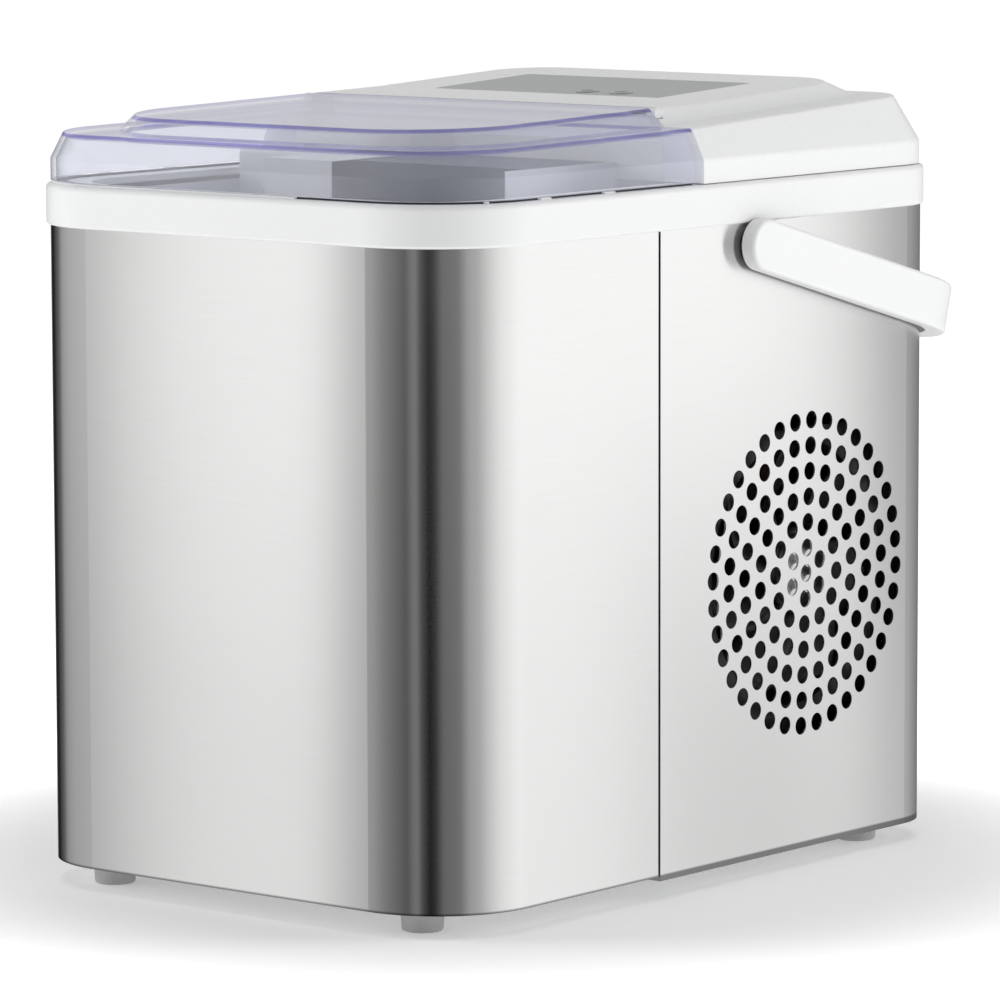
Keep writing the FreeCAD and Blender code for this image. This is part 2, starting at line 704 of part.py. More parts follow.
def foam_jacket():
    """Insulation between the liner and the steel."""
    low = 26.0
    lower = prism(outline(2.0, low), TANK_STEP - 4 - low)
    lower = lower.common(box(ALL_X, (0, TANK_REAR + 8), ALL_Z))
    upper = prism(outline(2.0, TANK_STEP - 4), 250 - TANK_STEP + 4)
    upper = upper.common(box(ALL_X, (0, SEAM - 3), ALL_Z))
    core = tank_outside(0.3)
    drain = rod(9.5, 60, DRAIN[0], DRAIN[1], 0)
    pump_port = rod(6.0, 40, PUMP_PORT[0], TANK_REAR - 5, PUMP_PORT[1], Y_AXIS)
    returns = both_sides(box((HALF_W - 8, HALF_W), (SEAM - 2.5, SEAM + 2.5), (0, 300)))
    return join([lower, upper]).cut([core, drain, pump_port] + returns)


def drain_spout():
    """Tube from the reservoir's floor down through the base pan."""
    outer = rod(6.2, TANK_BOTTOM - 10.2, DRAIN[0], DRAIN[1], 10.2)
    flange = rod(9.0, 3.0, DRAIN[0], DRAIN[1], TANK_BOTTOM - 3.0)
    bore = rod(4.2, 60, DRAIN[0], DRAIN[1], 5)
    return join([outer, flange]).cut(bore)


def drain_cap():
    """Turning cap under the base pan, with a plug inside the spout and a finger bar."""
    disc = rod(11.0, 3.2, DRAIN[0], DRAIN[1], 5.4)
    plug = rod(4.1, 10.0, DRAIN[0], DRAIN[1], 8.0)
    bar = box((DRAIN[0] - 9, DRAIN[0] + 9), (DRAIN[1] - 1.2, DRAIN[1] + 1.2), (2.2, 5.6))
    return join([disc, plug, bar])


def ice_basket():
    """Lift-out basket with slotted walls and floor, and a grip bar across the front."""
    t = 1.8
    x, d, z = BASKET
    outer = prism(loop(x[1], d[0], d[1], 26, 8, z[0]), z[1] - z[0])
    inner = prism(loop(x[1] - t, d[0] + t, d[1] - t, 26 - t, 8 - t, z[0] + t), z[1] - z[0])
    lip = prism(loop(x[1] + BASKET_LIP, d[0], d[1], 26, 8, z[1] - 3), 3)
    lip = lip.cut(prism(loop(x[1] - t, d[0] + t, d[1] - t, 26 - t, 8 - t, z[1] - 5), 8))
    slots = []
    for i in range(9):
        sx = -64 + 16 * i
        for level in (92.0, 122.0, 152.0):
            slots.append(box((sx - 2, sx + 2), (d[0] - 5, d[1] + 5), (level, level + 20)))
        slots.append(box((sx - 2, sx + 2), (d[0] + 10, d[1] - 8), (z[0] - 5, z[0] + 5)))
    for i in range(2):
        sd = 48 + 16 * i
        for level in (92.0, 122.0, 152.0):
            slots.append(box(ALL_X, (sd - 2, sd + 2), (level, level + 20)))
    return join([outer.cut(inner), lip]).cut(slots)


def evaporator_frame():
    """Dark carrier in the rear of the well: two cheeks, a rear wall and a hood."""
    cheeks = []
    wall = 2.5
    for side in (-1, 1):
        ends = sorted((EVAP_X + side * CHEEK, EVAP_X + side * (CHEEK + wall)))
        cheeks.append(box(ends, (83, 157.4), (192, 266)))
    width = (EVAP_X - CHEEK - wall, EVAP_X + CHEEK + wall)
    rear = box(width, (155.4, 157.6), (192, 266))
    post = box(width, (143.5, 146.0), (260, 278))
    hood = box(width, (96, 146), (275.6, 278))
    brow = box(width, (96, 98.4), (262, 278))
    sides = []
    for x, inward in zip(width, (2.4, -2.4)):
        sides.append(box(sorted((x, x + inward)), (96, 146), (260, 278)))
    shelf = box(width, (143.5, 157.6), (260, 262.4))
    shape = join(cheeks + sides + [rear, post, hood, brow, shelf])
    cuts = [
        rod(3.08, 200, -100, TRAY_PIVOT[0], TRAY_PIVOT[1], X_AXIS),
        rod(2.58, 200, -100, PUSHER_PIVOT[0], PUSHER_PIVOT[1], X_AXIS),
        rod(3.6, 20, HOSE_X, 150, HOSE_Z, Y_AXIS),
    ]
    cuts += [rod(3.2, 20, x, 150, PIPE_Z, Y_AXIS) for x in PIPE_X]
    return shape.cut(cuts)


def fingers():
    """Where the nine freezing fingers stand: five in front, four between them behind."""
    spots = [(EVAP_X - 40 + 20 * i, 103.5) for i in range(5)]
    spots += [(EVAP_X - 30 + 20 * i, 117.0) for i in range(4)]
    return spots


def evaporator():
    """Plated block with nine fingers, two refrigerant stubs and two mounting tabs."""
    block = box((EVAP_X - 50, EVAP_X + 50), (96, 124.5), (EVAP_BOTTOM, EVAP_BOTTOM + 8))
    parts = [block]
    for x, d in fingers():
        centre = FINGER_BOTTOM + FINGER_R
        parts.append(rod(FINGER_R, EVAP_BOTTOM - centre + 1, x, d, centre))
        parts.append(Part.makeSphere(FINGER_R, V(x, F(d), centre)))
    for x in PIPE_X:
        parts.append(rod(3.1, 42, x, 123, PIPE_Z, Y_AXIS))
    for side in (-1, 1):
        ends = sorted((EVAP_X + side * 49, EVAP_X + side * (CHEEK - 0.05)))
        parts.append(box(ends, (102, 118), (EVAP_BOTTOM + 2, EVAP_BOTTOM + 5)))
    return join(parts)


def water_tray():
    """Tilting trough that the fingers dip into, with an ear and a stub shaft at each end."""
    t = 1.8
    half = 53.5
    x = (EVAP_X - half, EVAP_X + half)
    outer = box(x, (92, 126), (196, 220))
    inner = box((x[0] + t, x[1] - t), (92 + t, 126 - t), (196 + t, 230))
    parts = [outer.cut(inner)]
    d, z = TRAY_PIVOT
    for side in (-1, 1):
        x0 = EVAP_X + side * half
        x1 = EVAP_X + side * (half - 2.4)
        low, high = min(x0, x1), max(x0, x1)
        parts.append(rod(5.5, high - low, low, d, z, X_AXIS))
        parts.append(box((low, high), (116, 127), (212, 224)))
        shaft_low = x0 if side > 0 else x0 - 6.0
        parts.append(rod(3.0, 6.0, shaft_low, d, z, X_AXIS))
    return join(parts)


def ice_pusher():
    """Comb plate in front of the tray that swings forward and pushes the ice off."""
    half = 50.0
    d, z = PUSHER_PIVOT
    plate = box((EVAP_X - half, EVAP_X + half), (d - 1.2, d + 1.2), (200, z))
    spine = rod(4.0, 2 * (CHEEK - 1.0), EVAP_X - CHEEK + 1.0, d, z, X_AXIS)
    shaft = rod(2.5, 2 * CHEEK + 4.0, EVAP_X - CHEEK - 2.0, d, z, X_AXIS)
    slots = []
    for i in range(6):
        sx = EVAP_X - 40 + 16 * i
        slots.append(box((sx - 2.5, sx + 2.5), (80, 95), (195, 232)))
    return join([plate.cut(slots), spine, shaft])


def drip_grid():
    """Sloping slotted ramp under the tray: ice slides forward, water runs through."""
    points = [(157.0, 183.0), (157.0, 180.5), (84.5, 158.0), (84.5, 160.5)]
    plate = profile_cut(points, 92.0)
    slots = []
    for i in range(11):
        sx = -75 + 15 * i
        slots.append(box((sx - 2, sx + 2), (92, 150), (150, 190)))
    return plate.cut(slots)


def tray_motor():
    """White gear motor box to the left of the evaporator, with its drive shaft."""
    x1 = EVAP_X - CHEEK - 2.7
    case = box((x1 - 38, x1), (112, 146), (206, 279))
    case = rounded(case, 2.0, at_height(279))
    pocket = rod(3.6, 6, x1 - 5, TRAY_PIVOT[0], TRAY_PIVOT[1], X_AXIS)
    return case.cut(pocket)


def ice_sensor(side):
    """Infrared eye on a small holder at the side of the well, above the basket."""
    wall = TANK_X - TANK_T
    holder = box((wall - 3.0, wall), (44, 58), (206, 222))
    eye = rod(2.5, 2.5, wall - 4.0, 51, 214, X_AXIS)
    shape = join([holder, eye])
    return shape if side > 0 else shape.mirror(V(0, 0, 0), X_AXIS)


def level_sensor():
    """Two short probes on a holder, low on the reservoir's left wall."""
    inner = -TANK_X + TANK_T
    holder = box((inner, inner + 4), (92, 112), (96, 106))
    probes = [rod(1.2, 40, inner + 2, d, 58) for d in (97, 107)]
    return join([holder] + probes)


# ---------------------------------------------------------------- cooling machinery
def compressor():
    """Welded steel can with a seam band, a foot plate and the terminal box."""
    x, d = COMPRESSOR
    low = PAN_FLOOR + 8
    plate = box((x - 54, x + 54), (d - 34, d + 34), (low, low + 3))
    plate = plate.cut([rod(4.2, 20, cx, cd, low - 5) for cx, cd in COMPRESSOR_FEET])
    can = rod(COMPRESSOR_R, 84, x, d, low + 2)
    can = rounded(can, 16, at_height(low + 86))
    seam = rod(COMPRESSOR_R + 2, 4, x, d, low + 44)
    terminal = box((x - 16, x + 16), (d + 38, d + 54), (low + 20, low + 52))
    stubs = [rod(3.4, 20, x + 20, d, low + 80), rod(2.6, 20, x - 22, d - 8, low + 78)]
    return join([can, plate, seam, terminal] + stubs)


def compressor_grommets():
    rings = []
    for x, d in COMPRESSOR_FEET:
        pad = rod(7.0, 8.0, x, d, PAN_FLOOR)
        neck = rod(4.1, 3.0, x, d, PAN_FLOOR + 8)
        cap = rod(6.5, 2.0, x, d, PAN_FLOOR + 11)
        rings.append(join([pad, neck, cap]).cut(rod(2.2, 40, x, d, 0)))
    return group(rings)


def compressor_bolts():
    bolts = []
    for x, d in COMPRESSOR_FEET:
        shank = rod(2.1, 16.0, x, d, SHELL_BOTTOM + 0.6)
        head = rod(4.0, 2.4, x, d, PAN_FLOOR + 13)
        bolts.append(join([shank, head]))
    return group(bolts)


def condenser():
    """Fin block with two end plates and the return bends of its tube."""
    x, d, z = CONDENSER
    parts = []
    pitch = 4.5
    count = int((d[1] - d[0]) / pitch)
    for i in range(count + 1):
        fd = d[0] + i * pitch
        parts.append(box(x, (fd, fd + 0.6), z))
    middle = (x[0] + x[1]) / 2
    for i in range(CONDENSER_ROWS):
        tz = z[0] + 14 + CONDENSER_PITCH * i
        parts.append(rod(3.0, d[1] - d[0] + 8, middle, d[0] - 4, tz, Y_AXIS))
        if i < CONDENSER_ROWS - 1:
            side = d[1] + 2 if i % 2 else d[0] - 6
            height = (tz - 2, tz + CONDENSER_PITCH + 2)
            parts.append(box((middle - 2, middle + 2), (side, side + 4), height))
    return join(parts)


def condenser_bracket():
    """Folded steel feet that hold the fin block above the base pan."""
    x, d, z = CONDENSER
    plates = []
    for depth in (d[0] + 9.6, d[1] - 12.6):
        plates.append(box((x[0], x[1]), (depth, depth + 1.2), (PAN_FLOOR, z[0])))
    return group(plates)


def fan_frame():
    """Square shroud with a round duct and four struts to the motor seat."""
    d = (GRILLE_D - FAN_HALF, GRILLE_D + FAN_HALF)
    z = (GRILLE_Z - FAN_HALF, GRILLE_Z + FAN_HALF)
    frame = box(FAN_X, d, z)
    frame = frame.cut(rod(FAN_DUCT_R, 60, FAN_X[0] - 5, GRILLE_D, GRILLE_Z, X_AXIS))
    middle = box((FAN_X[0] + 6, FAN_X[1] - 6), (d[0] - 1, d[1] + 1), (z[0] - 1, z[1] + 1))
    core = rod(FAN_DUCT_R + 2, 60, FAN_X[0] - 5, GRILLE_D, GRILLE_Z, X_AXIS)
    frame = frame.cut(middle.cut(core))
    seat = rod(18.0, 2.5, FAN_X[0], GRILLE_D, GRILLE_Z, X_AXIS)
    struts = []
    for turn in (45, 135, 225, 315):
        strut = Part.makeBox(2.5, 5.0, 38.0, V(FAN_X[0], -2.5, 16.5))
        strut.rotate(V(0, 0, 0), X_AXIS, turn)
        strut.translate(V(0, F(GRILLE_D), GRILLE_Z))
        struts.append(strut)
    holes = [rod(2.2, 60, 60, hole_d, hole_z, X_AXIS) for hole_d, hole_z in fan_corners()]
    return join([frame, seat] + struts).cut(holes)


def fan_corners():
    """Depth and height of the four screws in the fan's frame."""
    reach = FAN_HALF - 5
    corners = []
    for side in (-reach, reach):
        corners.append((GRILLE_D + side, GRILLE_Z - reach))
        corners.append((GRILLE_D + side, GRILLE_Z + reach))
    return corners


def fan_motor():
    case = rod(16.0, 8.0, FAN_X[0] + 2.5, GRILLE_D, GRILLE_Z, X_AXIS)
    shaft = rod(FAN_SHAFT_R, 13.0, FAN_X[0] + 9, GRILLE_D, GRILLE_Z, X_AXIS)
    return join([case, shaft])


def fan_impeller():
    """Hub and pitched blades on the motor's shaft."""
    hub = Part.makeCylinder(17.0, 11.0, V(FAN_X[0] + 12.0, 0, 0), X_AXIS)
    parts = [hub]
    for i in range(FAN_BLADES):
        blade = Part.makeBox(1.8, 26.0, 34.0, V(-0.9, -13.0, 16.0))
        blade.rotate(V(0, 0, 0), Z_AXIS, 58)
        blade.translate(V(FAN_X[0] + 17.0, 0, 0))
        blade.rotate(V(0, 0, 0), X_AXIS, 360.0 / FAN_BLADES * i)
        parts.append(blade)
    wheel = join(parts)
    limit = Part.makeCylinder(50.5, 40, V(FAN_X[0] + 5, 0, 0), X_AXIS)
    wheel = wheel.common(limit)
    wheel = wheel.cut(Part.makeCylinder(FAN_SHAFT_R + 0.05, 40, V(FAN_X[0], 0, 0), X_AXIS))
    wheel.translate(V(0, F(GRILLE_D), GRILLE_Z))
    return wheel


def fan_screws():
    screws = []
    for d, z in fan_corners():
        head = rod(3.8, 2.0, FAN_X[0] - 2.0, d, z, X_AXIS)
        shank = rod(2.0, 26.0, FAN_X[0] - 1.0, d, z, X_AXIS)
        screws.append(join([head, shank]))
    return group(screws)


def fan_bracket():
    """Steel angle that carries the fan's shroud on the base pan."""
    height = (PAN_FLOOR, GRILLE_Z - FAN_HALF)
    return box((FAN_X[0] + 8, FAN_X[0] + 9.5), (GRILLE_D - 50, GRILLE_D + 50), height)


def filter_drier():
    """Copper can with a necked end at either side, lying behind the liner."""
    can = rod(8.0, 70, -60, DRIER_D, DRIER_Z, X_AXIS)
    ends = [
        Part.makeCone(3.0, 8.0, 8, V(-68, F(DRIER_D), DRIER_Z), X_AXIS),
        Part.makeCone(8.0, 3.0, 8, V(10, F(DRIER_D), DRIER_Z), X_AXIS),
    ]
    return join([can] + ends)


def solenoid_valve():
    """Hot-gas valve: brass body with its coil."""
    body = box((44, 60), (196, 212), (140, 152))
    coil = rod(11.0, 24.0, 52, 204, 152)
    stem = rod(4.0, 30.0, 52, 204, 150)
    return join([body, coil, stem])


def water_pump():
    case = box((44, 74), (162, 184), (40, 66))
    head = rod(13.0, 10.0, 59, 184, 53, Y_AXIS)
    inlet = rod(3.0, 18.5, PUMP_PORT[0], TANK_REAR - 1, PUMP_PORT[1], Y_AXIS)
    outlet = rod(3.0, 8.0, HOSE_X, HOSE_D, 65)
    feet = box((44, 74), (164, 182), (PAN_FLOOR, 40.5))
    return join([case, head, inlet, outlet, feet])


def pump_hose():
    """Hose from the pump up the back of the liner and over the tray."""
    points = [(HOSE_X, HOSE_D, 73), (HOSE_X, HOSE_D, HOSE_Z), (HOSE_X, 136, HOSE_Z)]
    return tube(points, 3.5, 9.0)


def discharge_pipe():
    x, d = COMPRESSOR
    top = PAN_FLOOR + 106
    points = [
        (x - 22, d - 8, top),
        (x - 22, d - 8, 200),
        (-94, d - 8, 200),
        (-94, 281, 200),
        (-94, 281, 169.5),
    ]
    return tube(points, 2.6, 9.0)


def suction_pipe():
    x, d = COMPRESSOR
    points = [
        (x + 20, d, PAN_FLOOR + 108),
        (x + 20, d, 225),
        (PIPE_X[1], d, 225),
        (PIPE_X[1], 200, PIPE_Z),
        (PIPE_X[1], 165, PIPE_Z),
    ]
    return tube(points, 3.1, 9.0)


def liquid_line():
    points = [
        (18, DRIER_D, DRIER_Z),
        (30, DRIER_D, DRIER_Z),
        (30, DRIER_D + 14, DRIER_Z + 22),
        (PIPE_X[0], DRIER_D + 14, PIPE_Z),
        (PIPE_X[0], 165, PIPE_Z),
    ]
    return tube(points, 1.6, 5.0)


def main_board():
    """Power board on the rear wall: transformer, relays and connectors."""
    board = box((-70, 50), (296, 297.6), (172, 246))
    parts = [board]
    parts.append(box((-60, -26), (272, 296), (182, 214)))
    for i in range(3):
        parts.append(box((-12 + 20 * i, 4 + 20 * i), (282, 296), (184, 198)))
    for i in range(4):
        parts.append(box((-60 + 24 * i, -44 + 24 * i), (287, 296), (228, 238)))
    return join(parts)


def board_bracket():
    """Plastic carrier between the power board and the rear wall."""
    back = box((-76, 56), (303, 305), (166, 252))
    ribs = [box((x, x + 2.4), (297.6, 303.5), (172, 246)) for x in (-70, 47.6)]
    return join([back] + ribs)


def power_inlet():
    """Strain-relief bush for the mains lead in the rear wall; the lead itself is not modelled."""
    x, z = INLET
    collar = rod(8.9, 8.0, x, BODY_D - 5.0, z, Y_AXIS)
    flange = rod(11.5, 2.5, x, BODY_D, z, Y_AXIS)
    nut = rod(12.5, 3.5, x, BODY_D - SHEET - 3.5, z, Y_AXIS)
    bore = rod(INLET_BORE, 40.0, x, BODY_D - 20, z, Y_AXIS)
    return join([collar, flange, nut]).cut(bore)


def foot_screws():
    screws = []
    for x, d in FEET.values():
        screws.append(rod(4.0, 2.2, x, d, FOOT_H + 3.5))
    return group(screws)


def shell_screws():
    """Pan-head screws along the bottom of the rear wall."""
    screws = []
    for x in (-40.0, 0.0, 40.0, 76.0):
        screws.append(rod(3.4, 1.8, x, BODY_D, 18.0, Y_AXIS))
    return group(screws)


# ---------------------------------------------------------------- assembly
def nodes():
    parts = {
        "base_pan": base_pan(),
        "front_shell": front_shell(),
        "rear_shell": rear_shell(),
        "top_rim": top_rim(),
        "lid_gasket": lid_gasket(),
        "lid_rests": lid_rests(),
        "rear_cover": rear_cover(),
        "control_panel": control_panel(),
        "select_button": push_button(BUTTON_X[0]),
        "power_button": push_button(BUTTON_X[1]),
        "control_board": control_board(),
        "board_posts": board_posts(),
        "lid": lid(),
        "lid_hinge_pins": hinge_pins(),
        "carry_handle": handle(),
        "handle_bush_left": handle_bush(-1),
        "handle_bush_right": handle_bush(1),
        "water_tank": water_tank(),
        "foam_jacket": foam_jacket(),
        "drain_spout": drain_spout(),
        "drain_cap": drain_cap(),
        "ice_basket": ice_basket(),
        "evaporator_frame": evaporator_frame(),
        "evaporator": evaporator(),
        "water_tray": water_tray(),
        "ice_pusher": ice_pusher(),
        "drip_grid": drip_grid(),
        "tray_motor": tray_motor(),
        "ice_sensor_left": ice_sensor(-1),
        "ice_sensor_right": ice_sensor(1),
        "level_sensor": level_sensor(),
        "compressor": compressor(),
        "compressor_grommets": compressor_grommets(),
        "compressor_bolts": compressor_bolts(),
        "condenser": condenser(),
        "condenser_bracket": condenser_bracket(),
        "fan_frame": fan_frame(),
        "fan_bracket": fan_bracket(),
        "fan_motor": fan_motor(),
        "fan_impeller": fan_impeller(),
        "fan_screws": fan_screws(),
        "filter_drier": filter_drier(),
        "solenoid_valve": solenoid_valve(),
        "water_pump": water_pump(),
        "pump_hose": pump_hose(),
        "discharge_pipe": discharge_pipe(),
        "suction_pipe": suction_pipe(),
        "liquid_line": liquid_line(),
        "main_board": main_board(),
        "board_bracket": board_bracket(),
        "power_inlet": power_inlet(),
        "foot_screws": foot_screws(),
        "shell_screws": shell_screws(),
    }
    for name, (x, d) in FEET.items():
        parts[name] = foot(x, d)
    return parts


def main():
    os.makedirs("parts", exist_ok=True)
    for name, shape in nodes().items():
        if not shape.isValid():
            print("not valid:", name)
        print(f"{name:22s} solids {len(shape.Solids)}  volume {shape.Volume:10.1f}")
        shape.exportStep(f"parts/{name}.step")


main()
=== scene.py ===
"""Looks of the countertop ice maker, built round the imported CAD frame. Metres, +Z up, -Y front."""
import json
import math

import bpy
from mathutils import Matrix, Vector


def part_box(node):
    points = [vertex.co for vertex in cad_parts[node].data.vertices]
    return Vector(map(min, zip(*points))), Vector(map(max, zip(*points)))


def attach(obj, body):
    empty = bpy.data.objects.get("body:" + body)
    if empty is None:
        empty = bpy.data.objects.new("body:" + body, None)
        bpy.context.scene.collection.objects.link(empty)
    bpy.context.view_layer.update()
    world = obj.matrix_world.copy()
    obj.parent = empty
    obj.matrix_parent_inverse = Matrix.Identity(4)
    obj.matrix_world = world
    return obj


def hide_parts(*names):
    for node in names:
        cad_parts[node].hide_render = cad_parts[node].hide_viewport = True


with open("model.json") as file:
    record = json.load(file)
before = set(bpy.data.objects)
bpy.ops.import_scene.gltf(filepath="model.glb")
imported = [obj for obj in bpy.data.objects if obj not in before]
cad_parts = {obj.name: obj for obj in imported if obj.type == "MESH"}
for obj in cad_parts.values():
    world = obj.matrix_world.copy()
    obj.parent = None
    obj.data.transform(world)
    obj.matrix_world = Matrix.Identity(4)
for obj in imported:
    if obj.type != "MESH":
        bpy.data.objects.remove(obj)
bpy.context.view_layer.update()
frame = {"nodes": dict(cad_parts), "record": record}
NODES = frame["nodes"]

# ---------------------------------------------------------------- camera and studio values
CAMERA_AT = (1.50464, -1.84552, 0.43765)
CAMERA_TURN = (82.900, 0.1586, 39.1535)     # degrees about X, Y, Z
LENS_MM = 219.17
SENSOR_MM = 36.0
CAMERA_REACH = 200.0         # nothing further away than this is seen

FLOOR_RADIUS = 40.0
FLOOR_SIDES = 96
FLOOR_GLOW_NEAR = 0.2        # the floor's own light beside the object and far away from it
FLOOR_GLOW_FAR = 0.82
FLOOR_NEAR = 0.17            # distances from the middle where those two lights hold
FLOOR_FAR = 0.36
WORLD_LIGHT = 0.21
LIGHTS_AIM = (0.0, 0.0, 0.15)
SOFTBOXES = (                # name, place, width and height, watts
    ("top_softbox", (0.0, 0.0, 2.6), (2.6, 2.6), 23.0),
    ("left_softbox", (-2.2, -1.5, 0.9), (1.2, 1.6), 29.0),
    ("right_softbox", (2.0, 1.7, 0.9), (1.2, 1.6), 27.0),
)
REFLECTOR_RADIUS = 0.5       # a wall of light round the object that only reflections see
REFLECTOR_LOW = -2.0
REFLECTOR_HIGH = 2.6
REFLECTOR_SIDES = 180
BANDS_LOW = -0.02            # the bands are dimmer at this height and reach full light at the next
BANDS_FULL = 0.2
BANDS_END = 0.36             # above the bands the wall is plain and bright
PLAIN_START = 0.44
PLAIN_TONE = 214

# ---------------------------------------------------------------- finishes and detail pieces
STEEL_COLOR = (0.78, 0.78, 0.775)
STEEL_ROUGH = (0.18, 0.22)
BRUSH_STRETCH = 90.0         # the brushing is this much finer up and down than along
PAINTED_SHADE_HEIGHT = 0.0011          # painted shade along the steel's lower edge, standing in for the dark reflection of a folded edge: its height, its fade and how much darker it makes the colour
PAINTED_SHADE_FADE = 0.7
PAINTED_SHADE_FACTOR = 0.3
BUTTON_DARK = (0.03, 0.033, 0.045)
BUTTON_RING = (0.42, 0.44, 0.45)
RING_START = 0.58            # shares of the button's radius between which the ring fades in
RING_FULL = 0.72

LID_LEDGE_Z = 0.2901         # front height of the lid's lower and upper edge, and their slope
LID_LEDGE_RISE = 0.0141
LID_PLATEAU_Z = 0.2958
LID_PLATEAU_RISE = 0.0221
EDGE_GLOW = 0.0016           # depth over which the tint gathers below an edge
EDGE_FULL = (0.3, 0.93)      # the tint is full between these shares of that depth
EDGE_END = 0.96
LID_CLEAR = (0.965, 0.97, 0.99)
LID_EDGE = (0.36, 0.33, 0.72)
LID_HAZE = (0.86, 0.88, 0.97)
LID_HAZE_SHARE = 0.13
LID_TINT_START = 0.9         # from nearly edge-on views the tint sets in
LID_GLOSS_ROUGH = 0.06
LID_GLOSS_POWER = 5.0        # gloss grows towards edge-on views with this power, from the least
LID_GLOSS_LEAST = 0.04

FAN_BLADES = 7
FAN_HUB_R = 0.017
BLADE_ROWS = 9
BLADE_COLUMNS = 7
BLADE_ROOT = 0.9             # share of the hub's radius where a blade starts
BLADE_SWEEP = -0.4           # radians that the tip lags the root
BLADE_SPAN = 0.85            # radians that a blade covers at its root, and how many fewer at its tip
BLADE_SPAN_LOSS = 0.28
BLADE_DEPTH = 0.92           # the same for its depth, as shares of the fan's depth
BLADE_DEPTH_LOSS = 0.25
BLADE_PITCH = 0.9
BLADE_BULGE = 0.0016
BLADE_SHEET = 0.0012
HUB_SIDES = 64
HUB_PROFILE = (              # (behind the fan's front, inside the hub's radius)
    (0.0105, 0.001),
    (0.0100, 0.0),
    (0.0022, 0.0),
    (0.0008, 0.0007),
    (0.0002, 0.0020),
)
DISC_PROFILE = (
    (0.0002, 0.0035),
    (-0.0001, 0.0037),
)

HOOD_SHEET = 0.0005          # light covers on both ends of the evaporator's frame
HOOD_BEVEL = HOOD_SHEET * 0.24
HOOD_GAP = 0.0001
HOOD_INSET = 0.0006
HOOD_WIDTH = 0.035
HOOD_DEPTH = 0.026
HOOD_LENGTH = 0.038

# colour sockets of a Mix node, whose names are shared by its number and vector sockets
MIX_A = 6
MIX_B = 7
MIX_OUT = 2

# ---------------------------------------------------------------- the studio as the steel mirrors it
# (compass direction in degrees from +X, tone from 0 to 255 that the steel shows of it)
FRONT_BANDS = (
    (-135, 175),
    (-130.5, 178),
    (-126, 184),
    (-125.4, 207),
    (-123.8, 224),
    (-121.8, 235),
    (-119.5, 240),
    (-115.4, 243),
    (-114.4, 238),
    (-113.7, 215),
    (-112.9, 184),
    (-112.3, 158),
    (-107, 152),
    (-95, 124),
    (-80, 92),
    (-76.5, 82),
    (-72, 110),
    (-69, 116),
    (-65.5, 70),
    (-60, 20),
    (-55.5, 50),
    (-50, 100),
    (-45, 104),
)
OTHER_BANDS = (
    (-180, 30),
    (-165, 96),
    (-158, 150),
    (-146, 168),
    (-135, 175),
    (-45, 104),
    (-38, 112),
    (-31, 154),
    (-23, 168),
    (-15, 196),
    (-2, 227),
    (11, 240),
    (20, 248),
    (42, 253),
    (47, 246),
    (49.3, 229),
    (50.5, 202),
    (51.5, 174),
    (53, 160),
    (66, 143),
    (97, 102),
    (108, 190),
    (158, 190),
    (168, 30),
)
FRONT_SPAN = (-135.0, -45.0)
FULL_SPAN = (-180.0, 180.0)
# (compass direction, share of the light left at the bottom of the bands)
BANDS_FALL = (
    (-180, 0.9),
    (-130, 0.84),
    (-114, 0.82),
    (-60, 0.95),
    (20, 0.88),
    (36, 0.84),
    (40.5, 0.64),
    (45.5, 0.64),
    (48.5, 0.8),
    (50, 1.0),
    (53, 1.25),
    (70, 1.1),
    (100, 0.9),
)


